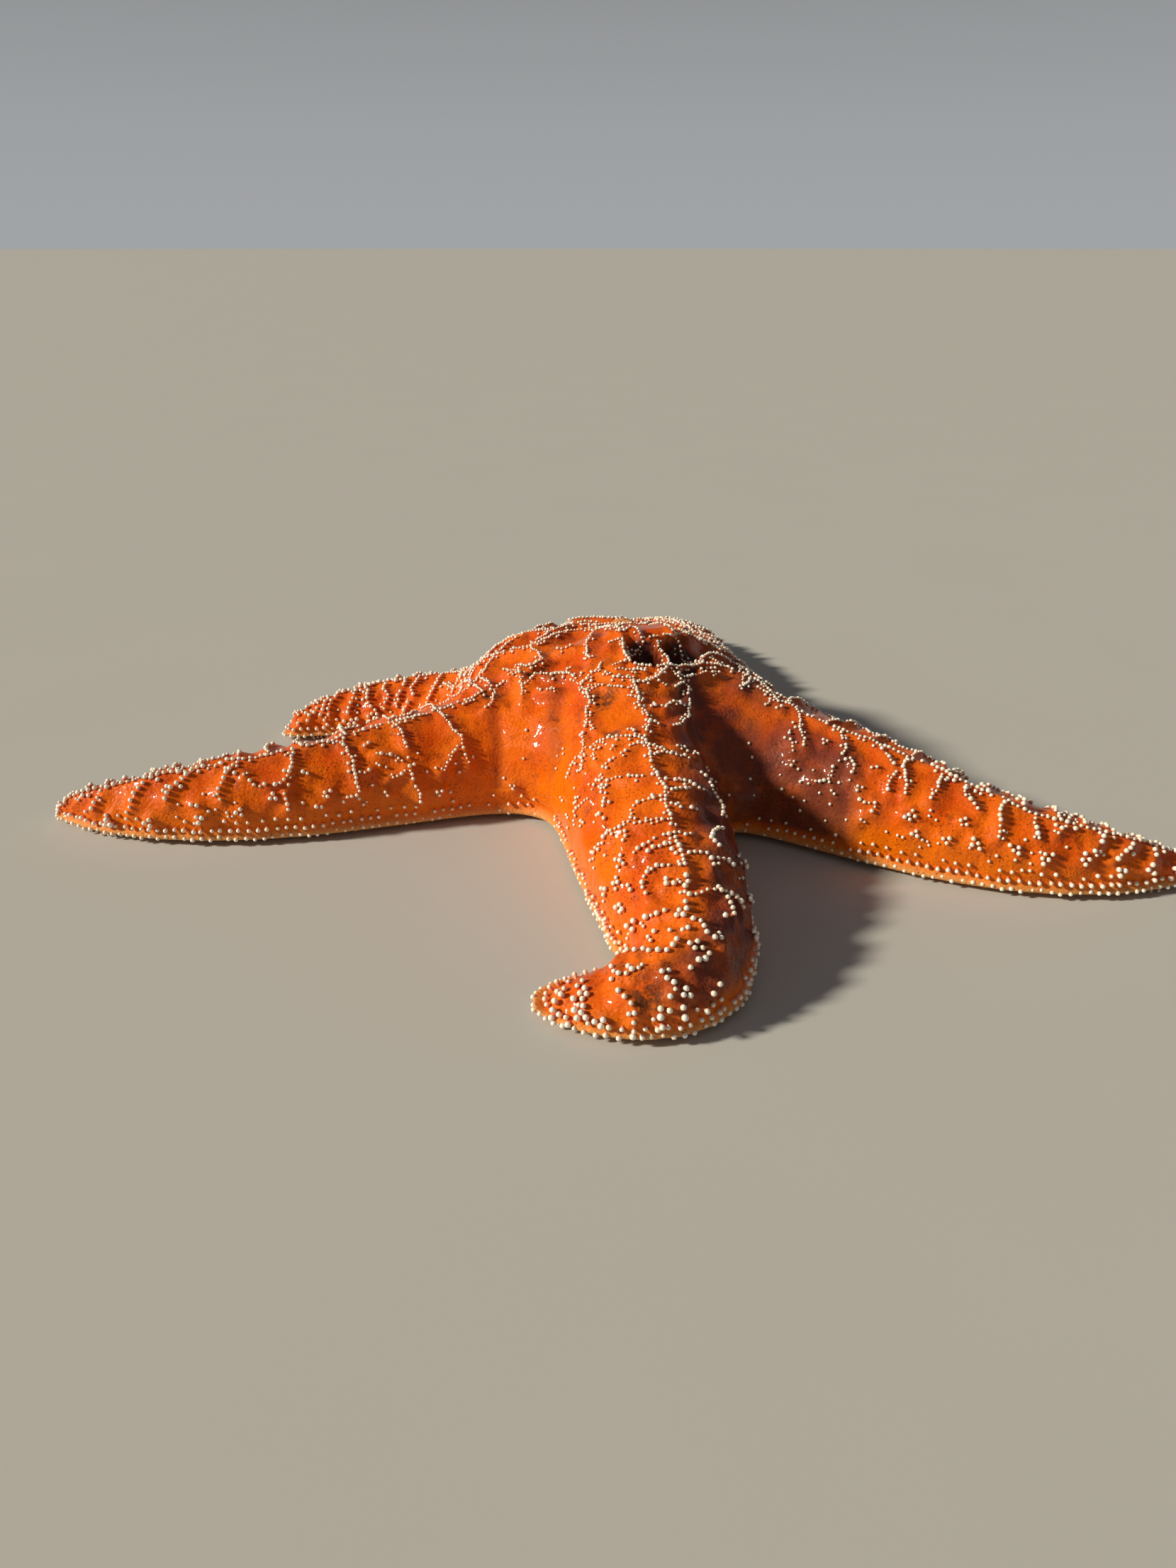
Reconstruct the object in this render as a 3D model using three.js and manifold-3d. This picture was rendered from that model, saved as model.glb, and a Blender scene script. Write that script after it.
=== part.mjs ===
// Ochre sea star, life size, lying still with its mouth on the floor. Millimetres, +Z up.
// The origin is the middle of the mouth on the floor, and the front arm runs towards -Y.
// The whole animal is one smooth body, which thin cuts then part into the disc and three lengths of each arm.
import * as THREE from "three";
import { mergeVertices } from "three/addons/utils/BufferGeometryUtils.js";
import Module from "manifold-3d";

const wasm = await Module();
wasm.setup();

// ---- Driving dimensions ----

// Each arm's midline in plan is one cubic curve from the mouth to its tip.
// leave and arrive are [bearing, pull]: the way the arm sets off and the way its tip points, in degrees from
// +X, and how far each of those carries.
const ARMS = {
  left: { tip: [-140, -20], leave: [177, 50], arrive: [160, 62] },
  front: { tip: [-24.5, -92.5], leave: [260, 57], arrive: [162, 58] },
  right: { tip: [125, -45], leave: [340, 54], arrive: [19, 63] },
  back: { tip: [2, 124], leave: [60, 46], arrive: [130, 42] },
  back_left: { tip: [-97, 26], leave: [132, 50], arrive: [212, 32] },
};

// The half width and the height that each arm would have at the mouth.
// They shrink as the powers narrows and sinks of the share of the arm that is still to go.
const GIRTHS = {
  left: { wide: 20.5, narrows: 0.46, tall: 28.5, sinks: 0.38 },
  front: { wide: 23.5, narrows: 0.4, tall: 40, sinks: 0.66 },
  right: { wide: 21.5, narrows: 0.5, tall: 35.5, sinks: 0.6 },
  back: { wide: 21, narrows: 0.46, tall: 22, sinks: 0.4 },
  back_left: { wide: 20.5, narrows: 0.46, tall: 23.5, sinks: 0.36 },
};

const SECTION_FOOT = 0.3; // share of the section's height that lies below its widest level
const SECTION_UNDERCUT = 1.9; // how deep the lower part would go without a floor, in foot heights
const ARM_POWER = 2; // of the superellipse that a section is, where 2 is an ellipse and more is boxier
const DISC_POWER = 2.6;

const DISC_RADIUS = 40;
const DISC_HEIGHT = 35.2;
const DISC_SKEW = [-7, 13]; // the hump's summit, off the mouth
const WEB_BLEND = 3.4; // how widely the arms and the disc run into each other

const GROOVE_HALF_WIDTH = 3.4; // the ambulacral groove under each arm, which holds its tube feet
const GROOVE_DEPTH = 4.6;
const GROOVE_SPAN = [0.08, 0.95]; // shares of the arm's length
const GROOVE_STEPS = 16;

const MOUTH_RADIUS = 7;
const MOUTH_THICKNESS = 4;
const MADREPORITE = { bearing: 98, reach: 27, radius: 3.2, thickness: 2.2, proud: 0.5 };

const CUT_GAP = 0.36; // between neighbouring solids
const CUT_REACH = 1.5; // of a cut to either side of the midline, in half widths of the arm
const CUTS = {
  left: [0.37, 0.59, 0.81],
  front: [0.38, 0.55, 0.72],
  right: [0.35, 0.58, 0.81],
  back: [0.42, 0.62, 0.82],
  back_left: [0.5, 0.67, 0.84],
}; // shares of each arm's length at which it leaves the disc, and at which it is parted again
const LENGTH_NAMES = ["base", "middle", "tip"];

const WORKROOM = 400; // a size beyond the whole animal's, for the blocks that cut it
const CELL = 4.6; // of the grid that the surface is found on
const GRID_LOW = [-156, -124, -12.5];
const GRID_HIGH = [142, 138, 56];
const CURVE_STEPS = 40;
const LAST_SHARE = 0.9995; // where the taper ends, just short of nothing

// ---- The body as a function, under 0 inside ----

const degrees = (angle) => (angle * Math.PI) / 180;
const towards = (bearing, distance) =>
  new THREE.Vector2(Math.cos(degrees(bearing)), Math.sin(degrees(bearing))).multiplyScalar(distance);

function armCurve({ tip, leave, arrive }) {
  const mouth = new THREE.Vector2(0, 0);
  const end = new THREE.Vector2(...tip);
  return new THREE.CubicBezierCurve(mouth, towards(...leave), end.clone().sub(towards(...arrive)), end);
}

const arms = Object.entries(ARMS).map(([name, course]) => {
  const curve = armCurve(course);
  return { name, curve, line: curve.getSpacedPoints(CURVE_STEPS), girth: GIRTHS[name] };
});

// The nearest place on an arm's midline: its share of the arm's length and its distance in plan.
function nearestOn({ line }, x, y) {
  let share = 0;
  let best = Infinity;
  for (let i = 0; i < CURVE_STEPS; i++) {
    const a = line[i];
    const dx = line[i + 1].x - a.x;
    const dy = line[i + 1].y - a.y;
    const t = Math.min(1, Math.max(0, ((x - a.x) * dx + (y - a.y) * dy) / (dx * dx + dy * dy)));
    const away = Math.hypot(x - a.x - t * dx, y - a.y - t * dy);
    if (away < best) {
      best = away;
      share = (i + t) / CURVE_STEPS;
    }
  }
  return [share, best];
}

const halfWidth = ({ girth }, share) => girth.wide * (1 - share) ** girth.narrows;
const height = ({ girth }, share) => girth.tall * (1 - share) ** girth.sinks;

// A section is half a superellipse above its widest level and a deeper half below, which the floor cuts off.
function sectionField(across, z, wide, tall, power) {
  const waist = SECTION_FOOT * tall;
  const reach = z > waist ? tall - waist : waist * SECTION_UNDERCUT;
  const ratio = ((across / wide) ** power + (Math.abs(z - waist) / reach) ** power) ** (1 / power);
  return (ratio - 1) * Math.min(wide, tall);
}

function armField(arm, x, y, z) {
  const [share, across] = nearestOn(arm, x, y);
  const inner = Math.min(share, LAST_SHARE);
  return sectionField(across, z, halfWidth(arm, inner), height(arm, inner), ARM_POWER);
}

function discField(x, y, z) {
  const away = Math.hypot(x - DISC_SKEW[0], y - DISC_SKEW[1]);
  return sectionField(away, z, DISC_RADIUS, DISC_HEIGHT, DISC_POWER);
}

function bodyField(x, y, z) {
  let sum = Math.exp(-discField(x, y, z) / WEB_BLEND);
  for (const arm of arms) sum += Math.exp(-armField(arm, x, y, z) / WEB_BLEND);
  return -WEB_BLEND * Math.log(sum);
}

// ---- The surface of that function, as one closed mesh of quads ----

function gradient(field, p) {
  const step = 0.05;
  const here = field(...p);
  return [here, [0, 1, 2].map((axis) => {
    const q = [...p];
    q[axis] += step;
    return (field(...q) - here) / step;
  })];
}

function pulledOnto(field, point) {
  let p = point;
  for (let round = 0; round < 4; round++) {
    const [value, slope] = gradient(field, p);
    const steep = slope.reduce((sum, s) => sum + s * s, 0);
    const move = Math.max(-CELL / 3, Math.min(CELL / 3, value / Math.sqrt(steep))) / Math.sqrt(steep);
    p = p.map((v, axis) => v - slope[axis] * move);
  }
  return p;
}

const AXES = [0, 1, 2];
const CORNERS = [0, 1, 2, 3, 4, 5, 6, 7].map((c) => [c & 1, (c >> 1) & 1, (c >> 2) & 1]);
const EDGES = CORNERS.flatMap((corner, i) =>
  AXES.filter((axis) => !corner[axis]).map((axis) => [i, i | (1 << axis)]),
);

// The mean of the places where the surface crosses a cell's edges, or nothing if it misses the cell.
function crossingMean(cell, value) {
  const crossings = EDGES.filter(([a, b]) => value[a] < 0 !== value[b] < 0).map(([a, b]) => {
    const t = value[a] / (value[a] - value[b]);
    return CORNERS[a].map((low, axis) => low + t * (CORNERS[b][axis] - low));
  });
  if (!crossings.length) return null;
  return cell.map((low, axis) => low + crossings.reduce((sum, c) => sum + c[axis], 0) / crossings.length);
}

function surfaceOf(field) {
  const size = GRID_LOW.map((low, axis) => Math.ceil((GRID_HIGH[axis] - low) / CELL) + 1);
  const stride = [1, size[0], size[0] * size[1]];
  const indexOf = (cell) => cell.reduce((sum, c, axis) => sum + c * stride[axis], 0);
  const placeOf = (cell) => cell.map((c, axis) => GRID_LOW[axis] + c * CELL);
  const cells = [];
  for (let k = 0; k < size[2]; k++)
    for (let j = 0; j < size[1]; j++)
      for (let i = 0; i < size[0]; i++) cells.push([i, j, k]);
  const values = cells.map((cell) => field(...placeOf(cell)));

  const vertices = [];
  const vertexOf = new Map();
  for (const cell of cells) {
    if (AXES.some((axis) => cell[axis] === size[axis] - 1)) continue;
    const first = indexOf(cell);
    const mean = crossingMean(cell, CORNERS.map((corner) => values[first + indexOf(corner)]));
    if (!mean) continue;
    vertexOf.set(first, vertices.length);
    vertices.push(pulledOnto(field, placeOf(mean)));
  }

  const faces = [];
  for (const first of vertexOf.keys())
    for (const axis of AXES) {
      const inside = values[first] < 0;
      if (inside === values[first + stride[axis]] < 0) continue;
      const [u, v] = [stride[(axis + 1) % 3], stride[(axis + 2) % 3]];
      const ring = [first, first - u, first - u - v, first - v].map((cell) => vertexOf.get(cell));
      const [a, b, c, d] = inside ? ring : ring.reverse();
      faces.push(a, b, c, a, c, d);
    }
  return { vertices, faces };
}

// ---- Solids ----

function solidFrom(positions, faces) {
  const vertProperties = new Float32Array(positions);
  return new wasm.Manifold(new wasm.Mesh({ numProp: 3, vertProperties, triVerts: new Uint32Array(faces) }));
}

function solidOf(geometry) {
  const bare = new THREE.BufferGeometry().setAttribute("position", geometry.getAttribute("position"));
  if (geometry.index) bare.setIndex(geometry.index);
  const merged = mergeVertices(bare, 1e-4);
  return solidFrom(merged.attributes.position.array, merged.index.array);
}

function geometryOf(solid) {
  const { numProp, numVert, vertProperties, triVerts } = solid.getMesh();
  const position = new Float32Array(numVert * 3);
  for (let i = 0; i < numVert; i++)
    position.set(vertProperties.subarray(i * numProp, i * numProp + 3), i * 3);
  const geometry = new THREE.BufferGeometry()
    .setAttribute("position", new THREE.BufferAttribute(position, 3))
    .setIndex(new THREE.BufferAttribute(new Uint32Array(triVerts), 1));
  geometry.computeVertexNormals();
  return geometry;
}

const box = (x, y, z) => new THREE.BoxGeometry(x, y, z);

const floorBlock = () => solidOf(box(WORKROOM, WORKROOM, WORKROOM).translate(0, 0, -WORKROOM / 2));

// The groove under an arm: an arched channel swept along the arm's midline on the floor.
function grooveSolid({ curve }) {
  const arch = new THREE.Shape();
  const below = 1;
  arch.moveTo(below, -GROOVE_HALF_WIDTH);
  arch.absellipse(0, 0, GROOVE_DEPTH, GROOVE_HALF_WIDTH, 1.5 * Math.PI, 0.5 * Math.PI, true);
  arch.lineTo(below, GROOVE_HALF_WIDTH);
  const stations = Array.from({ length: GROOVE_STEPS + 1 }, (_, i) =>
    curve.getPointAt(THREE.MathUtils.lerp(...GROOVE_SPAN, i / GROOVE_STEPS)),
  );
  const extrudePath = new THREE.CatmullRomCurve3(stations.map(({ x, y }) => new THREE.Vector3(x, y, 0)));
  return solidOf(new THREE.ExtrudeGeometry(arch, { steps: GROOVE_STEPS, extrudePath, curveSegments: 3 }));
}

// A thin slab square across an arm, which parts it there.
function cutSlab(arm, share) {
  const at = arm.curve.getPointAt(share);
  const along = arm.curve.getTangentAt(share);
  const slab = box(CUT_GAP, 2 * CUT_REACH * halfWidth(arm, share), WORKROOM);
  return solidOf(slab.rotateZ(Math.atan2(along.y, along.x)).translate(at.x, at.y, 0));
}

// A round plate or plug, by its profile from the axis outwards.
function turned(profile, segments) {
  const points = profile.map(([r, z]) => new THREE.Vector2(r, z));
  return new THREE.LatheGeometry(points, segments).rotateX(Math.PI / 2);
}

const mouthPlug = (grow) => {
  const r = MOUTH_RADIUS + grow;
  const top = MOUTH_THICKNESS + grow;
  return turned([[0, -grow], [r, -grow], [r, top / 2], [r * 0.6, top], [0, top]], 20);
};

const madreporitePlate = (grow) => {
  const r = MADREPORITE.radius + grow;
  const low = -MADREPORITE.thickness - grow;
  const brow = MADREPORITE.proud + grow;
  return turned([[0, low], [r * 0.8, low], [r, 0], [r * 0.72, brow * 0.8], [0, brow]], 16);
};

// Where the madreporite lies on the disc, and which way it faces.
function madreporitePlace() {
  const { x, y } = towards(MADREPORITE.bearing, MADREPORITE.reach);
  let low = DISC_HEIGHT / 2;
  let high = GRID_HIGH[2];
  while (high - low > 1e-3) {
    const mid = (low + high) / 2;
    if (bodyField(x, y, mid) < 0) low = mid;
    else high = mid;
  }
  const [, slope] = gradient(bodyField, [x, y, low]);
  const turn = new THREE.Quaternion().setFromUnitVectors(
    new THREE.Vector3(0, 0, 1),
    new THREE.Vector3(...slope).normalize(),
  );
  const place = new THREE.Vector3(x, y, low);
  return new THREE.Matrix4().compose(place, turn, new THREE.Vector3(1, 1, 1));
}

// ---- Materials ----

const skin = new THREE.MeshStandardMaterial({ color: 0xd9530f, roughness: 0.42, metalness: 0 });
const plate = new THREE.MeshStandardMaterial({ color: 0xe8c9a0, roughness: 0.6, metalness: 0 });
const lips = new THREE.MeshStandardMaterial({ color: 0xd99a63, roughness: 0.5, metalness: 0 });

const seaStar = new THREE.Group();

function addMesh(name, solid, material) {
  const mesh = new THREE.Mesh(geometryOf(solid), material);
  mesh.name = name;
  seaStar.add(mesh);
}

// ---- The whole body, then its parts ----

const { vertices, faces } = surfaceOf(bodyField);
const toMadreporite = madreporitePlace();
let body = solidFrom(vertices.flat(), faces).subtract(floorBlock());
for (const arm of arms) {
  body = body.subtract(grooveSolid(arm));
  for (const share of CUTS[arm.name]) body = body.subtract(cutSlab(arm, share));
}
body = body.subtract(solidOf(mouthPlug(CUT_GAP)));
body = body.subtract(solidOf(madreporitePlate(CUT_GAP).applyMatrix4(toMadreporite)));

// The length of arm that a loose piece is, from the middle of its box, or the disc.
function nameOf(piece) {
  const { min, max } = piece.boundingBox();
  const [x, y] = [(min[0] + max[0]) / 2, (min[1] + max[1]) / 2];
  const near = arms
    .map((arm) => ({ arm, found: nearestOn(arm, x, y) }))
    .sort((a, b) => a.found[1] - b.found[1])[0];
  const passed = CUTS[near.arm.name].filter((cut) => near.found[0] > cut).length;
  return passed ? `arm_${near.arm.name}_${LENGTH_NAMES[passed - 1]}` : "disc";
}

for (const piece of body.decompose()) addMesh(nameOf(piece), piece, skin);
addMesh("mouth", solidOf(mouthPlug(0)), lips);
addMesh("madreporite", solidOf(madreporitePlate(0).applyMatrix4(toMadreporite)), plate);

export default seaStar;
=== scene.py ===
"""The looks of a living ochre sea star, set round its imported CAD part.

All shapes are worked out in millimetres in the part's own frame and become metres where a mesh is made.
One skin stands for the disc and the fifteen lengths of arm. Pearl-headed spines in chains, the spines and
tube feet beneath, the mouth and the sieve plate are solid meshes set in it. The spines' tips reach the CAD
outline, and the skin lies inside that outline by the height of the spines.
"""

import math

import bpy
import numpy as np
from mathutils import Matrix, Vector
from mathutils.kdtree import KDTree


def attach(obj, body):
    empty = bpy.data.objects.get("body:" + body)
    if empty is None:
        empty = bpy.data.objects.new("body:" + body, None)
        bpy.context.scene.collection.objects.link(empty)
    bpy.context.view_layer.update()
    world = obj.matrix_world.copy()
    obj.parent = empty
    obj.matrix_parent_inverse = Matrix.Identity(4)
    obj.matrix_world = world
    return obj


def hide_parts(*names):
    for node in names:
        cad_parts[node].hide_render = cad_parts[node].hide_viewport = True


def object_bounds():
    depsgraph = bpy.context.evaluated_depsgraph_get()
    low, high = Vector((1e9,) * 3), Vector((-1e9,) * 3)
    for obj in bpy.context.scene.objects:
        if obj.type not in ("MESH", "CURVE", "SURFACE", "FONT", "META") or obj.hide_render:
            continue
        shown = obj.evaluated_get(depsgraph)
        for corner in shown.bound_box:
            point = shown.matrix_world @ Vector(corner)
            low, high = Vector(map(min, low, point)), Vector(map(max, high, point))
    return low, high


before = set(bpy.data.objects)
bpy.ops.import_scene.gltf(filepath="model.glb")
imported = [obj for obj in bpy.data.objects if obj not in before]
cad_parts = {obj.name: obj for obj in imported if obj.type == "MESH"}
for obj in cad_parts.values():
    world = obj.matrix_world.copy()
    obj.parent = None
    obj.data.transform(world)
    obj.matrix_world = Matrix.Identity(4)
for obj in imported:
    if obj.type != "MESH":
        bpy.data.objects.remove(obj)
CAD_BOX = [list(corner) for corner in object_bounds()]
MM = 0.001
CEILING = CAD_BOX[1][2] / MM - 0.08  # the spines' tips stay under this level

# ---------------------------------------------------------------- the body, in the numbers of the solids
# Each arm's midline is a cubic curve from the mouth to its tip. A row gives the tip, how the curve leaves the
# mouth and arrives at the tip as (bearing, pull), the half width at the base and the power that narrows it,
# and the height at the base and the power that lowers it.
ARM_SIZES = {
    "left": ((-140, -20), (177, 50), (160, 62), 20.5, 0.46, 28.5, 0.38),
    "front": ((-24.5, -92.5), (260, 57), (162, 58), 23.5, 0.4, 40, 0.66),
    "right": ((125, -45), (340, 54), (19, 63), 21.5, 0.5, 35.5, 0.6),
    "back": ((2, 124), (60, 46), (130, 42), 21, 0.46, 22, 0.4),
    "back_left": ((-97, 26), (132, 50), (212, 32), 20.5, 0.46, 23.5, 0.36),
}
SECTION_FOOT = 0.3  # the widest level of an arm's section, as a share of its height
SECTION_UNDERCUT = 1.9  # how far the section would reach below that level, in the same shares
LAST_SHARE = 0.9995
BLUNTED = {"left": 0.991, "right": 0.979}  # these arms' skin ends this share of the way along
DISC_CENTRE = (-7, 13)
DISC_RADIUS = 40
DISC_HEIGHT = 35.2
DISC_POWER = 2.6
WEB_BLEND = 3.4  # how softly the arms run into each other
MIDLINE_STEPS = 40
GROOVE_HALF_WIDTH = 3.4
GROOVE_DEPTH = 4.6
GROOVE_SPAN = (0.08, 0.95)
MOUTH_RADIUS = 7
MOUTH_THICKNESS = 4
MOUTH_MESH = (30, 120)  # rings and sides of its ring of skin
MOUTH_GATHERS = 20
PLATE_CENTRE = (-3.8, 26.8)
PLATE_RADIUS = 3.1
PLATE_LEVEL = 32.8  # the level of its rim
PLATE_RISE = 0.95
PLATE_MESH = (26, 108)  # rings and sides
FURROW_DEPTH = 0.14
FURROWS = (9, 18)  # how many there are, near its middle and near its rim

# ---------------------------------------------------------------- the skin
CELL = 0.7  # lattice the skin is drawn on
SOFTENINGS = 3  # rounds of averaging over the lattice
SETTLINGS = 3  # rounds of moving a point on to the surface
NORMAL_REACH = 0.6
RAY_STEP = 0.8
TRACK_STEP = 0.45  # how close together the points of a drawn chain are
GRID_LOW = (-143.0, -111.0, -3.0)
GRID_HIGH = (126.0, 128.0, 45.0)
PLAN_LOW = (-141, -109)
PLAN_HIGH = (125, 127)
BELLY_LEVEL = 1.1  # the skin's underside, with short spines between it and the floor
BELLY_ROUNDING = 0.7
RIDGE_DEPTH = 1.06  # skin below the spines' tips on a ridge
HOLLOW_ON_ARMS = 2.3  # and between the ridges
HOLLOW_ON_DISC = 3.3
RIDGE_NARROW = 1.3  # a ridge is a narrow crest on a broad swell
RIDGE_BROAD = 3.1
NARROW_PART = 0.5
SHALLOWEST = 0.35  # the skin is nowhere nearer to the outline
# Unevenness of the skin: its size, depth on the arms, how much more on the disc, share lost on a ridge, seed.
SWELLS = ((8, 0.3, 0.3, 0.0, 21), (3.2, 0.2, 0.15, 0.6, 22))
# Folds across the arms: their size along and round the arm, depth and seed.
WRINKLES = ((4.2, 15, 0.3, 31), (1.5, 6.5, 0.13, 32))
# Deep sunken places on top of the disc: x, y, half length in x, half length in y, depth.
PITS = (
    (-0.2, -8.3, 5.2, 7.4, 5.2),
    (9.6, -6.2, 6.0, 6.9, 5.8),
    (-24, -5, 4, 3.5, 1.6),
    (-35, -6, 3.5, 4, 1.2),
    (16, 3, 3, 7, 1.6),
    (-18, -3, 5, 7, 0.8),
)
SHADED_PITS = 2  # the first ones are also painted near black inside, as shade in their depths
PLATE_SWELL = (0.5, 4.6)  # how far the skin rises round the sieve plate, and how far out
FOLDS_ABOVE = 8  # the level down to which the folds reach
# Folds down the disc's sides: depth, half width and a run of (x, y).
FOLDS = (
    (1.5, 3.2, ((10, -17), (12, -24), (13, -30), (17, -37), (19, -42))),
    (0.6, 1.6, ((-35, -14), (-34, -20), (-33, -26))),
    (0.7, 2.0, ((-20, -14), (-21, -20), (-20, -27))),
)
# Brown stains on the disc, and one on the hook: x, y, radius.
STAINS = (
    (-36, -7, 4.2), (-25, -4, 3.6), (-20, -8, 3.8), (-10, -24, 3.6), (-8, -37, 2.6), (12, 24, 4),
    (-22, 30, 3.5), (-3, -103, 3.2),
)
FLANK_BAND = (48, 96)  # degrees from the crest over which an arm's side turns amber
LOWEST_STAIN = 5  # the level where the stains fade out
LOWEST_SHADE = 4
PAINTED_SHADE_END = (0.86, 0.76)  # the purple painted shade of the front arm's left side fades out here along the arm
SHADED_SHOULDER_X = (14, 26)  # and the painted shade of the right shoulder sets in over these x and levels
SHADED_SHOULDER_LEVEL = (24, 31)
# Painted shadows, purplish brown, between the front and right arms: x, y, radius.
PAINTED_SHADOWS = ((19, -27, 9), (24, -34, 10), (31, -33, 10), (38, -38, 9))

# ---------------------------------------------------------------- chains of spines
# Runs of (mm along the arm, degrees round it). 0 degrees is the arm's left side as seen going out along it,
# 90 its crest and 180 its right side.
CRESTS = {
    "front": ((43, 92), (53, 93), (58, 89), (65, 93), (70, 92), (76, 90), (80, 90), (84, 95), (90, 90)),
    "left": ((30, 92), (54, 87), (68, 83), (81, 79), (94, 80), (107, 79), (121, 79), (128, 72), (144, 66)),
    "right": ((28, 90), (52, 96), (58, 93), (69, 90), (81, 93), (92, 102), (99, 106), (110, 103), (134, 96)),
    "back": ((34, 88), (50, 93), (70, 88), (90, 92), (110, 88), (127, 90)),
    "back_left": ((30, 92), (45, 88), (62, 92), (80, 87), (106, 90)),
}
FRONT_RIBS = (
    ((43, 92), (43, 104), (45, 115), (47, 124), (52, 131)),
    ((53, 94), (53, 101), (51, 109), (49, 124), (48, 130), (49, 136)),
    ((49, 124), (53, 131), (55, 132), (57, 140)),
    ((50, 140), (49, 146), (48, 156)),
    ((60, 92), (60, 112), (63, 122), (63, 131), (62, 143)),
    ((63, 122), (65, 119), (66, 106), (66, 96)),
    ((65, 125), (67, 132)),
    ((70, 92), (70, 107), (71, 121), (72, 128)),
    ((73, 93), (72, 106), (73, 117)),
    ((78, 92), (78, 107), (77, 113), (78, 126), (83, 127)),
    ((81, 92), (83, 100), (82, 111)),
    ((55, 91), (55, 76), (56, 66), (56, 58)),
    ((58, 89), (58, 82), (57, 72)),
    ((62, 89), (64, 84), (63, 70)),
    ((70, 90), (70, 79)),
    ((66, 52), (68, 62), (70, 65), (72, 59)),
    ((75, 86), (75, 73), (76, 68), (78, 67)),
    ((76, 68), (75, 60), (74, 54), (76, 47)),
    ((85, 90), (84, 79), (83, 68), (82, 55), (82, 44), (84, 36)),
    ((82, 57), (86, 48)),
    ((47, 90), (46, 78), (47, 66)),
    ((50, 60), (58, 46), (62, 50)),
    ((93, 136), (90, 130), (89, 114), (90, 101)),
    ((98, 114), (96, 112), (95, 103), (94, 95), (94, 90)),
    ((90, 90), (90, 76), (91, 64), (91, 55), (90, 48), (91, 44)),
    ((90, 90), (92, 85), (93, 80)),
    ((105, 122), (102, 113), (100, 98), (99, 90), (97, 76), (95, 83), (94, 85)),
    ((106, 90), (105, 73), (103, 63)),
    ((103, 73), (101, 67)),
    ((99, 67), (99, 53), (98, 39), (99, 30)),
    ((105, 45), (103, 36), (103, 22), (103, 4)),
)
LEFT_RIBS = (
    ((51, 88), (48, 55), (47, 40), (47, 24)),
    ((48, 46), (52, 31), (53, 25)),
    ((61, 86), (60, 60), (60, 51)),
    ((67, 52), (63, 47), (61, 38), (60, 22), (59, 2)),
    ((61, 36), (65, 27)),
    ((75, 80), (72, 60), (72, 40), (72, 17), (75, 16)),
    ((72, 42), (69, 38)),
    ((86, 80), (85, 60), (86, 50), (87, 41), (91, 42)),
    ((86, 39), (87, 29), (86, 20), (87, 12)),
    ((97, 80), (98, 62), (100, 45), (100, 31)),
    ((97, 62), (95, 54)),
    ((107, 79), (110, 52), (112, 42), (111, 32)),
    ((117, 79), (119, 46), (120, 22)),
    ((127, 74), (128, 50), (129, 28)),
    ((134, 70), (136, 40)),
    ((139, 68), (141, 35)),
)
RIGHT_RIBS = (
    ((40, 92), (44, 106), (47, 125)),
    ((42, 108), (45, 131)),
    ((51, 95), (53, 104), (56, 112), (56, 121), (55, 131), (55, 140), (52, 145)),
    ((55, 138), (57, 150)),
    ((57, 119), (59, 128), (59, 137)),
    ((60, 95), (64, 105), (66, 110), (67, 126), (67, 133)),
    ((61, 137), (62, 144), (65, 145), (67, 141)),
    ((65, 144), (65, 155), (63, 165)),
    ((68, 92), (67, 106), (70, 122), (70, 131)),
    ((75, 93), (75, 109), (75, 131)),
    ((80, 94), (81, 111), (84, 121)),
    ((88, 99), (88, 113), (88, 125), (88, 145)),
    ((94, 104), (94, 116), (95, 133)),
    ((101, 106), (100, 118), (98, 128)),
    ((108, 104), (106, 127), (105, 138)),
    ((116, 100), (111, 131), (109, 147)),
    ((121, 99), (118, 125), (118, 143)),
    ((127, 98), (125, 130)),
    ((131, 97), (131, 128)),
)
# Small groups of spines: mm along, degrees round, how many.
CLUSTERS = {
    "front": (
        (62, 148, 4), (61, 157, 3), (71, 137, 5), (74, 150, 4), (79, 139, 2), (80, 154, 4), (73, 163, 3),
        (87, 55, 2), (91, 150, 3), (52, 153, 3), (85, 22, 3), (78, 26, 3), (70, 30, 3), (45, 150, 3),
        (40, 140, 2), (94, 63, 4), (94, 49, 4), (96, 49, 1), (97, 26, 3), (100, 21, 3), (95, 19, 1),
        (94, 23, 1), (96, 7, 1), (98, 18, 1), (98, 9, 1), (100, 3, 1), (103, -7, 1), (106, 65, 1),
        (107, 6, 5), (111, 76, 2), (111, 49, 5), (110, 34, 1), (110, 20, 5), (112, 1, 1), (115, 55, 2),
        (115, 34, 2), (115, 19, 1), (115, 6, 1),
    ),
    "left": (
        (80, 11, 2), (79, 25, 3), (82, 47, 2), (90, 27, 3), (97, 16, 3), (55, 8, 3), (66, 12, 2),
        (105, 14, 3), (115, 12, 3), (125, 10, 3), (106, 30, 2), (93, 44, 2), (68, 66, 2), (38, 6, 3),
    ),
    "right": (
        (72, 146, 5), (82, 134, 3), (85, 154, 5), (91, 153, 4), (97, 156, 5), (103, 150, 4), (80, 156, 3),
        (110, 158, 3), (74, 158, 3), (116, 156, 3), (63, 117, 2), (124, 152, 3), (50, 112, 3), (46, 140, 2),
    ),
    "back": (),
    "back_left": (),
}
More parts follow.
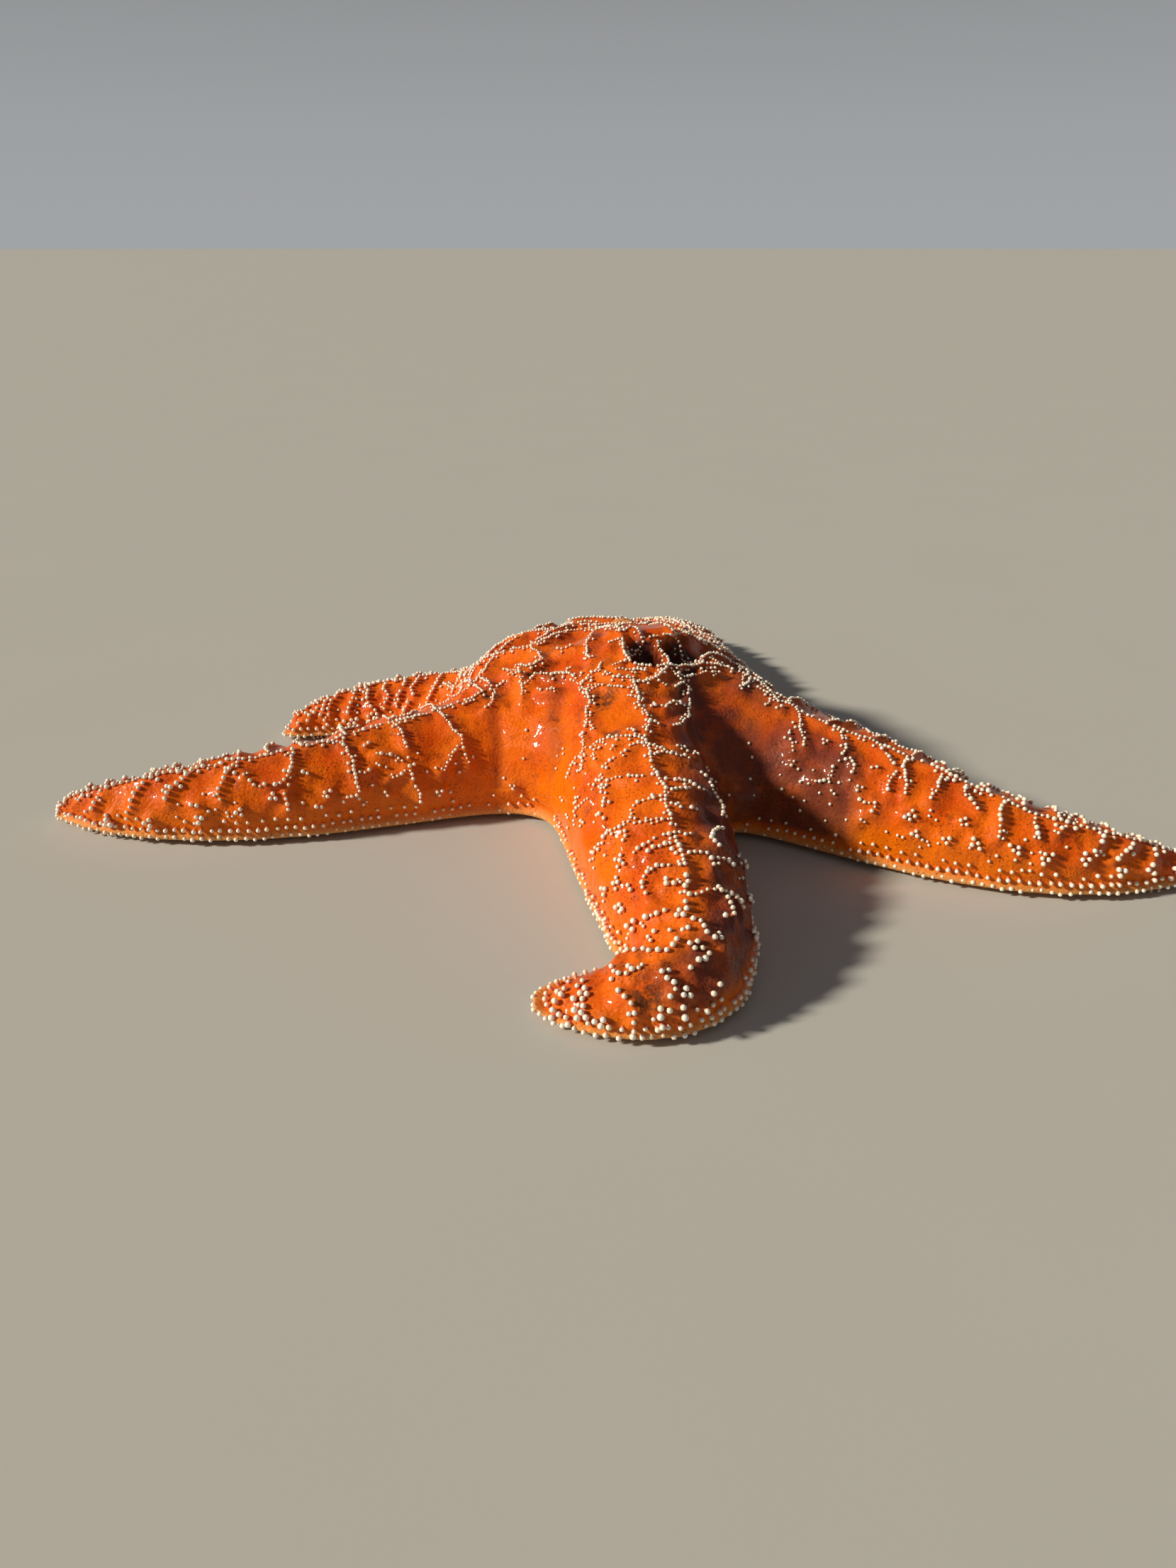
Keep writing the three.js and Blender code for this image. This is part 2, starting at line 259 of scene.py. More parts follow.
# Chains on the disc, as runs of (x, y) laid on its top: broad ones two or three spines wide, then narrow.
BROAD_DISC_CHAINS = (
    ((-52, 27), (-47, 20), (-43, 15), (-40, 16), (-36, 12), (-31, 9), (-27, 9)),
    ((-27, 9), (-22, 14), (-17, 18), (-11, 17), (-8, 10), (-8, 2)),
    ((-6, 2), (-5, -4), (-5, -10), (-4, -14), (-1, -16), (2, -16)),
    ((2, -16), (6, -15), (10, -12), (14, -9), (19, -8), (24, -8), (28, -11), (30, -17), (31, -21)),
    ((-15, -40), (-10, -39), (-6, -40), (-1, -42)),
    ((-3, -20), (-2, -26), (-1, -31), (0, -38), (-1, -43)),
    ((-15, -18), (-12, -15), (-9, -18), (-5, -20), (-1, -22), (3, -19), (6, -15)),
    ((-15, -18), (-13, -23), (-13, -27), (-15, -31), (-15, -36), (-15, -43)),
    ((-22, -10), (-19, -11), (-16, -15)),
    ((-31, 0), (-28, -3), (-24, -1)),
    ((14, -8), (17, -3), (23, -1), (28, -4), (31, -10)),
    ((-20, 24), (-14, 27), (-10, 24)),
)
DISC_CHAINS = (
    ((-53, 34), (-42, 27), (-31, 24), (-21, 19)),
    ((-28, 11), (-26, 5), (-24, -1)),
    ((-12, 6), (-13, -1), (-14, -6), (-13, -9)),
    ((-4, -10), (-2, -5), (1, -3), (4, -3), (8, -1), (12, -3), (14, -8)),
    ((4, -3), (5, -8), (6, -14)),
    ((-15, -19), (-10, -21), (-4, -24)),
    ((7, -21), (10, -18), (11, -22), (10, -28), (8, -33), (5, -36)),
    ((4, -30), (6, -26), (10, -26)),
    ((7, -16), (10, -17), (14, -13), (18, -11)),
    ((24, -9), (25, -12), (22, -15)),
    ((-1, -43), (3, -45), (5, -46)),
    ((6, -42), (9, -41), (11, -42)),
    ((-34, 0), (-31, -3), (-29, -7), (-28, -11), (-29, -13)),
    ((-25, -5), (-28, -10)),
    ((-25, -13), (-21, -15)),
    ((-40, 2), (-38, -3), (-36, -7), (-35, -11), (-38, -13)),
    ((-5, 1), (-2, 2), (0, -3)),
    ((-7, -17), (0, -18)),
    ((-37, 11), (-40, 3), (-44, 0)),
    ((23, -1), (28, 4), (35, 3)),
    ((-13, 20), (-5, 21), (2, 16), (6, 8), (8, -1)),
    ((-22, -10), (-25, -8)),
)
# The rest of the disc has a net of bowed chains.
NET_CELL = 11.5  # width of its cells
ROW_PITCH = 0.87  # a row of a triangular net is this share of its cells' width from the next
NET_RINGS = 6
NET_SHIFT = 1.6  # how far its corners and the middles of its links are moved at random
NET_BOW = 1.3
NET_REACH = 41  # how far it goes from the disc's centre
NET_NEAREST = -6  # y of its near edge
NET_CLEAR = 4.2  # how far it stays off the chains above
NET_MISSING = 0.3  # share of its links left out
NET_SHORTEST = 5  # a link with no more points than this is left out too
NET_GAP = 2.3
NET_SIZES = (0.85, 1.1)
# Spurs are short side chains of the broad chains.
SPUR_PITCH = 4.4  # how close together they may be
SPUR_SHARE = 0.7  # and how many of those places have one
SPUR_TURNS = (50, 115)  # degrees off their chain
SPUR_GAP = 2.2
SPUR_SIZES = (0.8, 1.05)
# Ribs laid by rule on the sides that the lists above leave bare: the arm, the side (1 left and -1 right), and
# how far apart the ribs are near its base and near its tip.
RULED_SIDES = (
    ("left", -1, 10.5, 5.2),
    ("right", 1, 10.5, 5.2),
    ("back", 1, 9.0, 4.6),
    ("back", -1, 9.0, 4.6),
    ("back_left", 1, 6.8, 3.7),
    ("back_left", -1, 6.8, 3.7),
)
RIBS_SPAN = (0.27, 0.965)  # where they begin and end, as shares of the arm
RIB_FALL = (48, 72)  # how many degrees down the side they run
RIB_SLANT = (-1, 3.5)  # and how far out along the arm on the way
RIB_SWAY = 0.9
PITCH_SPAN = (0.3, 0.9)  # shares of the arm over which they draw together
PITCH_JITTER = (0.85, 1.15)
TWIG_REACH = 4.2  # the longest side chain, and its length against the ribs' spacing
TWIG_PART = 0.45
TWIG_FALL = (4, 14)  # degrees down the side
KNOT_FALL = (10, 26)  # how many degrees below a rib's end its knots of spines lie
TWIG_ODDS = 0.65  # how many have a side chain, and how many a link to the rib before
LINK_ODDS = 0.35
HEAD = ((0.3, 0.85, 1.0), (0.40, 0.64, 0.50))  # shares of an arm's length, and a spine's head radius there
GAP_SPAN = (0.6, 0.95)
GAP = (2.15, 2.7)  # spines' spacing in head radii, at those shares of an arm's length
DISC_HEAD = 0.41
EDGE_SPAN = (0.12, 0.955)
EDGE_ROWS = ((1.5, 2.0, 0.46), (3.7, 2.1, 0.46), (6.2, 2.9, 0.42))  # level, spacing and head of the edge rows
# Along an arm: how many of the edge's spines are there, how many of its top row, and how big they are.
EDGE_KEPT = ((0.2, 0.5), (0.62, 1.0))
EDGE_TOP_KEPT = ((0.75, 0.9), (0.8, 0.25))
EDGE_GROWTH = ((0.2, 0.7), (0.82, 1.08))
LONE_HEADS = (0.3, 0.44)
LONE_TURNS = (4, 46)  # degrees up from the arm's side
# How many single spines are scattered low on an arm's sides, and how far out along it.
LONE_SPINES = {
    "front": (45, 0.72), "left": (85, 0.9), "right": (150, 0.8), "back": (90, 0.9), "back_left": (80, 0.9),
}
TIP_CLEARANCE = 0.04
ROOT_DEPTH = 0.9  # a spine's root is at least this far below the outline
FLOOR_CLEARANCE = 0.06
BROADEST = 0.62  # a spine's head radius is at most this share of its height
TALLEST = (1.5, 2.7)  # a spine's height in head radii, on the upper side and low on the edge
EDGE_BAND = (7.5, 4.5)  # the levels between which it passes from one to the other
WANDER = 1.0  # how far a chain strays to each side of its run
WANDER_SIZE = 3.2  # and the size of its bends
STRAY = 0.26  # how far a spine stands off its chain, in head radii
SIZES = (0.66, 1.2)  # the spines of one chain against its head
MISSING = 0.07  # share of a chain's spines that aren't there
GAP_JITTER = (0.88, 1.2)  # each gap against the even one
PAIR_GAP = (1.9, 2.4)  # how far the second spine of a pair stands off, in head radii
KNOT_GAP = (2.1, 2.7)  # and the spines of a knot off its middle one
KNOT_SIZES = (0.85, 1.12)
KNOT_RIDGE = 0.7  # how high a knot's ridge is against a chain's
PAIRED = 0.16  # share of a chain's spines that have a second one beside them
CROWDED = 0.93  # of two spines nearer than this share of their radii together, the later one is dropped
DISC_GAP = 2.15  # spacing on the disc's own chains, in head radii

# A spine's outline: share of its height, plus this many head radii, its radius in head radii, and how far its
# colour has turned from the skin's to its own.
PEARL = (
    (0.0, -1.1, 0.90, 0.0),
    (0.1, 0.0, 0.72, 0.12),
    (1.0, -1.45, 0.84, 0.5),
    (1.0, -0.98, 1.0, 0.85),
    (1.0, -0.42, 0.82, 1.0),
    (1.0, -0.11, 0.46, 1.0),
)
TUBE_FOOT = (
    (0.0, -0.6, 0.9, 0.0),
    (0.3, 0.0, 0.62, 0.3),
    (0.7, 0.0, 0.55, 0.6),
    (1.0, -0.5, 0.6, 0.8),
    (1.0, -0.25, 1.0, 1.0),
    (1.0, 0.0, 0.85, 1.0),
)
# Spines beside the grooves: how far off the groove's edge, how far apart and how big.
GROOVE_SPINES = ((0.75, 1.15, 0.33), (2.1, 1.5, 0.36))
BELLY_PITCH = 3.1
FEET_ROWS = ((0.85, 0), (2.25, 0.5))  # how far off the middle of the groove, and how far a row is shifted
FEET_PITCH = 1.9
FEET_SPAN = (0.12, 0.93)
FEET_HEADS = (0.42, 0.5)
BELLY_HEADS = (0.36, 0.46)
MOUTH_HEADS = (0.36, 0.42)
MOUTH_SHEAF = (-16, -8, 0, 8, 16)  # bearings of the mouth's spines from the middle of their sheaf
MOUTH_ROWS = ((6.6, 2.0, 0.62), (7.9, 1.6, 0.35))  # how far out, at what level, and how much they lean in
PATCH = 0.0015  # half the width of a spine's patch on the OFBake map
# Seeds of the random draws.
COAT_SEED = 11
RULES_SEED = 5
SWAY_SEED = 41
SPINES_SEED = 17
BELLY_SEED = 23
FEET_SEED = 29
MOUTH_SEED = 31
MM_IN_DEGREE = 0.35  # about how far a degree round an arm is


def towards(bearing, distance):
    """The plan offset of distance mm along a bearing."""
    turn = math.radians(bearing)
    return np.array([math.cos(turn), math.sin(turn)]) * distance


def unit(vectors):
    return vectors / np.maximum(np.linalg.norm(vectors, axis=1), 1e-9)[:, None]


def smooth_step(value, low, high):
    share = np.clip((value - low) / (high - low), 0, 1)
    return share * share * (3 - 2 * share)


def run_lengths(path):
    """The distance along a path to each of its points."""
    return np.concatenate([[0], np.cumsum(np.linalg.norm(np.diff(path, axis=0), axis=1))])


def along_path(stops, run, path):
    """The places on a path at distances along it."""
    return np.stack([np.interp(stops, run, column) for column in path.T], axis=1)


def from_spot(points, x, y, half_x, half_y):
    """How far points are in plan from a spot's middle, as a share of the spot's half lengths."""
    return np.hypot((points[:, 0] - x) / half_x, (points[:, 1] - y) / half_y)


def section(across, level, wide, tall, power):
    """A section's field: below zero inside it, about the distance in mm outside."""
    waist = SECTION_FOOT * tall
    reach = np.where(level > waist, tall - waist, waist * SECTION_UNDERCUT)
    ratio = ((across / wide) ** power + (np.abs(level - waist) / reach) ** power) ** (1 / power)
    return (ratio - 1) * np.minimum(wide, tall)


class Arm:
    """One arm's midline and the size of its section along it."""

    def __init__(self, name, tip, leave, arrive, wide, narrows, tall, sinks):
        self.name, self.wide, self.narrows, self.tall, self.sinks = name, wide, narrows, tall, sinks
        self.ends = BLUNTED.get(name, 1.0)
        end = np.array(tip, float)
        t = np.linspace(0, 1, 401)[:, None]
        controls = (np.zeros(2), towards(*leave), end - towards(*arrive), end)
        weights = ((1 - t) ** 3, 3 * t * (1 - t) ** 2, 3 * t * t * (1 - t), t**3)
        curve = sum(control * weight for control, weight in zip(controls, weights))
        run = run_lengths(curve)
        self.length = run[-1]
        self.line = along_path(np.linspace(0, self.length, MIDLINE_STEPS + 1), run, curve)
        self.headings = np.gradient(self.line, axis=0)

    def left_over(self, share):
        return 1 - np.minimum(share / self.ends, LAST_SHARE)

    def half_width(self, share):
        return self.wide * self.left_over(share) ** self.narrows

    def height(self, share):
        return self.tall * self.left_over(share) ** self.sinks

    def nearest(self, plan):
        """For plan points: share of the way along, distance from the midline, and side (1 is left)."""
        steps = np.diff(self.line, axis=0)
        share, away, side = np.zeros(len(plan)), np.full(len(plan), np.inf), np.zeros(len(plan))
        for i, (start, step) in enumerate(zip(self.line, steps)):
            offset = plan - start
            along = np.clip(offset @ step / (step @ step), 0, 1)
            offset = offset - along[:, None] * step
            distance = np.hypot(offset[:, 0], offset[:, 1])
            closer = distance < away
            away = np.where(closer, distance, away)
            share = np.where(closer, (i + along) / MIDLINE_STEPS, share)
            side = np.where(closer, np.sign(step[0] * offset[:, 1] - step[1] * offset[:, 0]), side)
        return np.minimum(share, LAST_SHARE), away, side

    def at(self, along):
        """Midline points and leftward directions at distances along the arm in mm."""
        place = np.clip(np.asarray(along, float) / self.length, 0, LAST_SHARE) * MIDLINE_STEPS
        low = place.astype(int)
        part = (place - low)[:, None]
        point = self.line[low] * (1 - part) + self.line[low + 1] * part
        heading = self.headings[low] * (1 - part) + self.headings[low + 1] * part
        heading /= np.linalg.norm(heading, axis=1)[:, None]
        return point, np.stack([-heading[:, 1], heading[:, 0]], axis=1)


ARMS = {name: Arm(name, *sizes) for name, sizes in ARM_SIZES.items()}


def lattice_noise(points, size, seed):
    """Smooth noise from -1 to 1 with features about size mm across."""
    table = np.random.default_rng(seed).uniform(-1, 1, (32, 32, 32))
    place = points / size
    corner = np.floor(place).astype(int)
    part = place - corner
    part = part * part * (3 - 2 * part)
    total = np.zeros(len(points))
    for offset in np.ndindex(2, 2, 2):
        cell = (corner + offset) % 32
        total += np.prod(np.where(offset, part, 1 - part), axis=1) * table[cell[:, 0], cell[:, 1], cell[:, 2]]
    return total


def softened(values):
    """A lattice's values averaged a little with their neighbours'."""
    for _ in range(SOFTENINGS):
        for axis in range(3):
            padded = np.concatenate([values.take([0], axis), values, values.take([-1], axis)], axis)
            low, high = [slice(None)] * 3, [slice(None)] * 3
            low[axis], high[axis] = slice(0, -2), slice(2, None)
            values = 0.5 * values + 0.25 * (padded[tuple(low)] + padded[tuple(high)])
    return values


class BodyGrid:
    """The body's field on a lattice, where it is looked up quickly."""

    def __init__(self):
        self.low = np.array(GRID_LOW)
        counts = np.ceil((np.array(GRID_HIGH) - self.low) / CELL).astype(int)
        self.axes = [low + CELL * np.arange(count) for low, count in zip(self.low, counts)]
        plan = np.stack(np.meshgrid(self.axes[0], self.axes[1], indexing="ij"), axis=-1).reshape(-1, 2)
        level = self.axes[2].astype(np.float32)
        from_disc = np.hypot(*(plan - DISC_CENTRE).T).astype(np.float32)[:, None]
        total = np.exp(-section(from_disc, level, DISC_RADIUS, DISC_HEIGHT, DISC_POWER) / WEB_BLEND)
        groove = np.full(total.shape, np.inf, np.float32)
        for arm in ARMS.values():
            share, away, _ = (value.astype(np.float32)[:, None] for value in arm.nearest(plan))
            field = section(away, level, arm.half_width(share), arm.height(share), 2)
            total += np.exp(-field / WEB_BLEND)
            ends = smooth_step(share, GROOVE_SPAN[0] - 0.03, GROOVE_SPAN[0] + 0.02) * smooth_step(
                share, GROOVE_SPAN[1] + 0.03, GROOVE_SPAN[1] - 0.12
            )
            arch = np.hypot(away / GROOVE_HALF_WIDTH, level / (GROOVE_DEPTH * np.maximum(ends, 0.02)))
            groove = np.minimum(groove, (arch - 1) * GROOVE_HALF_WIDTH)
        shape = tuple(counts)
        self.body = softened((-WEB_BLEND * np.log(total)).reshape(shape))
        mouth = (np.hypot(np.hypot(plan[:, :1], plan[:, 1:]) / MOUTH_RADIUS, level / MOUTH_THICKNESS) - 1) * 4
        hollow = np.minimum(groove, mouth).reshape(shape)
        floor = BELLY_LEVEL - level
        belly = BELLY_ROUNDING * np.logaddexp(self.body / BELLY_ROUNDING, floor / BELLY_ROUNDING)
        self.flesh = np.maximum(belly, -hollow)

    def at(self, points):
        """The body's field at points, straight between the lattice's own values."""
        values = self.body
        place = np.clip((points - self.low) / CELL, 0, np.array(values.shape) - 1.001)
        corner = place.astype(int)
        part = place - corner
        (x, y, z), (u, v, w) = corner.T, part.T
        for_x = [
            values[x + 1, y + j, z + k] * u + values[x, y + j, z + k] * (1 - u)
            for j in (0, 1)
            for k in (0, 1)
        ]
        return (for_x[0] * (1 - w) + for_x[1] * w) * (1 - v) + (for_x[2] * (1 - w) + for_x[3] * w) * v

    def normals(self, points):
        """Outward directions of the body's field."""
        steps = np.eye(3) * NORMAL_REACH
        return unit(np.stack([self.at(points + step) - self.at(points - step) for step in steps], axis=1))

    def settle(self, points):
        """Moves points onto the body's surface."""
        for _ in range(SETTLINGS):
            points = points - self.normals(points) * np.clip(self.at(points), -1.5, 1.5)[:, None]
        return points

    def cast(self, origins, directions, far):
        """Where rays from inside the body leave it, and which of them do within their far limits."""
        distances = np.arange(0, np.max(far) + RAY_STEP, RAY_STEP)
        path = origins[:, None, :] + directions[:, None, :] * distances[None, :, None]
        values = self.at(path.reshape(-1, 3)).reshape(len(origins), -1)
        outside = (values > 0) & (distances > RAY_STEP / 2)
        first = np.maximum(np.argmax(outside, axis=1), 1)
        rows = np.arange(len(origins))
        before, after = values[rows, first - 1], values[rows, first]
        share = np.clip(before / np.minimum(before - after, -1e-6), 0, 1)
        length = distances[first - 1] + share * RAY_STEP
        left = outside.any(axis=1) & (length <= far) & (before <= 0)
        return origins + directions * length[:, None], left


GRID = BodyGrid()


def on_arm(arm, run):
    """Surface points for rows of (mm along an arm, degrees round it), and which of them are its own."""
    along, turn = np.asarray(run, float)[:, 0], np.radians(np.asarray(run, float)[:, 1])
    middle, left = arm.at(along)
    share = np.clip(along / arm.length, 0, LAST_SHARE)
    origins = np.column_stack([middle, SECTION_FOOT * arm.height(share)])
    directions = np.column_stack([left * np.cos(turn)[:, None], np.sin(turn)])
    far = 1.22 * np.hypot(arm.half_width(share) * np.cos(turn), arm.height(share) * np.sin(turn)) + 4
    return GRID.cast(origins, directions, far)


def on_disc(plan):
    """Surface points above plan points."""
    plan = np.asarray(plan, float)
    origins = np.column_stack([plan, np.full(len(plan), 3.0)])
    return GRID.cast(origins, np.tile([0.0, 0.0, 1.0], (len(plan), 1)), np.full(len(plan), 45.0))


def arm_place(arm, points):
    """(mm along, degrees round) for points near an arm, degrees running from -90 to 270."""
    share, away, side = arm.nearest(points[:, :2])
    turn = np.degrees(np.arctan2(points[:, 2] - SECTION_FOOT * arm.height(share), away * side))
    return share * arm.length, (turn + 90) % 360 - 90


def drawn(run):
    """A run of given points as a smooth dense one."""
    run = np.asarray(run, float)
    spread = np.hypot(np.diff(run[:, 0]), np.diff(run[:, 1]) * MM_IN_DEGREE)
    knots = np.concatenate([[0], np.cumsum(np.maximum(spread, 0.01))])
    dense = np.linspace(0, knots[-1], max(3, int(knots[-1] / TRACK_STEP) + 1))
    track = along_path(dense, knots, run)
    width = min(9, len(track) // 2 * 2 - 1)
    kernel = np.hanning(width + 2)[1:-1]
    kernel /= kernel.sum()
    padded = np.pad(track, ((width // 2,) * 2, (0, 0)), mode="edge")
    smooth = np.stack([np.convolve(column, kernel, mode="valid") for column in padded.T], axis=1)
    smooth[0], smooth[-1] = track[0], track[-1]
    return smooth


class Coat:
    """The chains and spines laid so far."""

    def __init__(self):
        self.rng = np.random.default_rng(COAT_SEED)
        self.ridges, self.strengths = [], []
        self.places, self.heads, self.pieces = [], [], []

    def add(self, piece, places, heads):
        if len(places):
            self.places.append(GRID.settle(places))
            self.heads.append(np.asarray(heads, float))
            self.pieces.extend([piece] * len(places))

    def wandering(self, path):
        """The path with small bends of its own, and its ends where they were."""
        share = np.linspace(0, 1, len(path))
        sway = lattice_noise(path + self.rng.uniform(0, 99), WANDER_SIZE, SWAY_SEED) * WANDER
        sway = sway * np.sin(math.pi * share) ** 0.5
        sideways = unit(np.cross(np.gradient(path, axis=0), GRID.normals(path)))
        return GRID.settle(path + sideways * sway[:, None])

    def string(self, piece, path, head, gap, strength=1.0, doubling=PAIRED):
        """Lays spines along a path on the surface. head and gap hold a value for each point of the path."""
        if len(path) < 3:
            return
        path = self.wandering(path)
        self.ridges.append(path)
        self.strengths.append(np.full(len(path), strength))
        run = run_lengths(path)
        stops, here = [], 0.2
        while here < run[-1]:
            stops.append(here)
            size = np.interp(here, run, head)
            here += size * np.interp(here, run, gap) * self.rng.uniform(*GAP_JITTER)
        stops = np.array(stops)[self.rng.random(len(stops)) > MISSING]
        if not len(stops):
            return
        places, ahead, behind = (along_path(stops + step, run, path) for step in (0, 0.5, -0.5))
        sideways = unit(np.cross(unit(ahead - behind), GRID.normals(places)))
        sizes = np.interp(stops, run, head) * self.rng.uniform(*SIZES, len(stops))
        places = places + sideways * (self.rng.normal(0, STRAY, len(stops)) * sizes)[:, None]
        self.add(piece, places, sizes)
        pair = self.rng.random(len(stops)) < doubling
        hop = self.rng.choice([-1, 1], len(stops)) * self.rng.uniform(*PAIR_GAP, len(stops)) * sizes
        self.add(piece, (places + sideways * hop[:, None])[pair], sizes[pair] * 0.92)

    def cluster(self, piece, centre, head, count):
        """Lays a small knot of spines round a surface point."""
        normal = GRID.normals(centre[None])[0]
        first = np.cross(normal, [0, 0, 1.0]) if abs(normal[2]) < 0.9 else np.cross(normal, [1.0, 0, 0])
        first /= np.linalg.norm(first)
        second = np.cross(normal, first)
        turn = self.rng.uniform(0, 2 * math.pi)
        places = [centre]
        for i in range(count - 1):
            angle = turn + i * math.pi / 3 * self.rng.uniform(0.9, 1.3)
            reach = head * self.rng.uniform(*KNOT_GAP)
            places.append(centre + (first * math.cos(angle) + second * math.sin(angle)) * reach)
        self.ridges.append(np.array(places))
        self.strengths.append(np.full(count, KNOT_RIDGE))
        self.add(piece, np.array(places), head * self.rng.uniform(*KNOT_SIZES, count))

    def thin(self):
        """Drops each spine that would overlap one laid before it."""
        places, heads = np.concatenate(self.places), np.concatenate(self.heads)
        tree = tree_of(places)
        kept = np.ones(len(places), bool)
        for i, (place, head) in enumerate(zip(places, heads)):
            if kept[i]:
                for _, j, distance in tree.find_range(place, head + 0.75):
                    if j > i and distance < CROWDED * (head + heads[j]):
                        kept[j] = False
        return places[kept], heads[kept], np.array(self.pieces)[kept]


def tree_of(points):
    tree = KDTree(len(points))
    for i, point in enumerate(points):
        tree.insert(point, i)
    tree.balance()
    return tree


def head_at(arm, along):
    return np.interp(np.asarray(along) / arm.length, *HEAD)


def gap_at(arm, along):
    return np.interp(np.asarray(along) / arm.length, GAP_SPAN, GAP)


def arm_chain(coat, arm, run, strength=1.0, doubling=PAIRED, scale=1.0):
    """Lays one chain given in an arm's own places."""
    track = drawn(run)
    path, good = on_arm(arm, track)
    if not good[:3].any():
        return
    begin = int(np.argmax(good))
    stop = begin + int(np.argmin(np.append(good[begin:], False)))
    path, along = path[begin:stop], track[begin:stop, 0]
    heads = head_at(arm, along) * scale
    coat.string("spines_" + arm.name, path, heads, gap_at(arm, along), strength, doubling)


def disc_chain(coat, path, size, gap, strength, doubling):
    """Lays one chain on the disc, its heads this size against the disc's usual ones."""
    heads = np.full(len(path), DISC_HEAD * size)
    coat.string("spines_disc", path, heads, np.full(len(path), gap), strength, doubling)


def ruled_ribs(coat, arm, side, widest, closest, rng):
    """Ribs down one side of an arm by rule, with spurs, links and knots of spines."""
    crest = np.asarray(CRESTS[arm.name], float)
    (along, end), last = np.array(RIBS_SPAN) * arm.length, None
    while along < end:
        share = along / arm.length
        pitch = np.interp(share, PITCH_SPAN, (widest, closest)) * rng.uniform(*PITCH_JITTER)
        top = np.interp(along, crest[:, 0], crest[:, 1])
        fall = rng.uniform(*RIB_FALL)
        slant = rng.uniform(*RIB_SLANT)
        wander = rng.normal(0, RIB_SWAY, 4)
        run = [
            (along + slant * t + sway, top - side * fall * t) for t, sway in zip((0, 0.33, 0.67, 1), wander)
        ]
        run[0] = (along, top)
        arm_chain(coat, arm, run)
        middle = run[rng.integers(1, 3)]
        if rng.random() < TWIG_ODDS:
            reach = rng.choice([-1, 1]) * min(TWIG_REACH, pitch * TWIG_PART)
            end_of_twig = (middle[0] + reach, middle[1] - side * rng.uniform(*TWIG_FALL))
            arm_chain(coat, arm, (middle, end_of_twig), 0.8)
        if last is not None and rng.random() < LINK_ODDS and share < 0.8:
            halfway = ((last[0] + middle[0]) / 2, middle[1] + side * 5)
            arm_chain(coat, arm, (last, halfway, middle), 0.7, scale=0.88)
        for _ in range(rng.integers(1, 3)):
            place = (along + rng.uniform(-3, 3), top - side * (fall + rng.uniform(*KNOT_FALL)))
            centre, good = on_arm(arm, [place])
            if good[0]:
                coat.cluster("spines_" + arm.name, centre[0], head_at(arm, along) * 0.95, rng.integers(2, 6))
        last = middle
        along += pitch


def in_pits(points):
    """Which points lie in the disc's two deep pits, whose insides are painted with shade."""
    inside = np.zeros(len(points), bool)
    for *spot, _ in PITS[:SHADED_PITS]:
        inside |= from_spot(points, *spot) < 1
    return inside


def spurs(coat, rng):
    """Short side chains off the disc's broad chains, clear of its pits."""
    for run in BROAD_DISC_CHAINS:
        track = drawn(run)
        run_length = np.concatenate([[0], np.cumsum(np.hypot(*np.diff(track, axis=0).T))])
        for stop in np.arange(rng.uniform(1, 4), run_length[-1], SPUR_PITCH):
            if rng.random() > SPUR_SHARE:
                continue
            root, ahead = along_path((stop, stop + 0.6), run_length, track)
            heading = math.degrees(math.atan2(ahead[1] - root[1], ahead[0] - root[0]))
            turn = rng.choice([-1, 1]) * rng.uniform(*SPUR_TURNS)
            middle = root + towards(heading + turn, rng.uniform(1.4, 2.2))
            end = middle + towards(heading + turn + rng.uniform(-40, 40), rng.uniform(1.2, 2.6))
            path, good = on_disc(drawn((root, middle, end)))
            path = path[good & ~in_pits(path)]
            disc_chain(coat, path, rng.uniform(*SPUR_SIZES), SPUR_GAP, 0.85, 0.2)


def disc_net(coat, rng):
    """A net of bowed chains over the part of the disc that the set chains leave bare."""
    laid = tree_of(np.concatenate(coat.ridges))
    corners = {}
    for i in range(-NET_RINGS, NET_RINGS + 1):
        for j in range(-NET_RINGS, NET_RINGS + 1):
            shift = rng.uniform(-NET_SHIFT, NET_SHIFT, 2)
            even = np.array([NET_CELL * (i + 0.5 * (j % 2)), NET_CELL * ROW_PITCH * j])
            corners[i, j] = even + DISC_CENTRE + shift
    for (i, j), start in corners.items():
        right = i + j % 2
        for other in ((i + 1, j), (right, j + 1), (right - 1, j + 1)):
            end = corners.get(other)
            if end is None or rng.random() < NET_MISSING:
                continue
            bow = (start + end) / 2 + rng.normal(0, NET_BOW, 2)
            track = drawn((start, bow, end))
            near_disc = np.hypot(*(track - DISC_CENTRE).T) < NET_REACH
            clear_of_plate = np.hypot(*(track - PLATE_CENTRE).T) > PLATE_RADIUS + 1.2
            path, good = on_disc(track)
            free = np.array([laid.find(point)[2] > NET_CLEAR for point in path])
            keep = near_disc & clear_of_plate & good & free & (path[:, 1] > NET_NEAREST)
            if keep.sum() > NET_SHORTEST:
                disc_chain(coat, path[keep], rng.uniform(*NET_SIZES), NET_GAP, 0.9, 0.2)


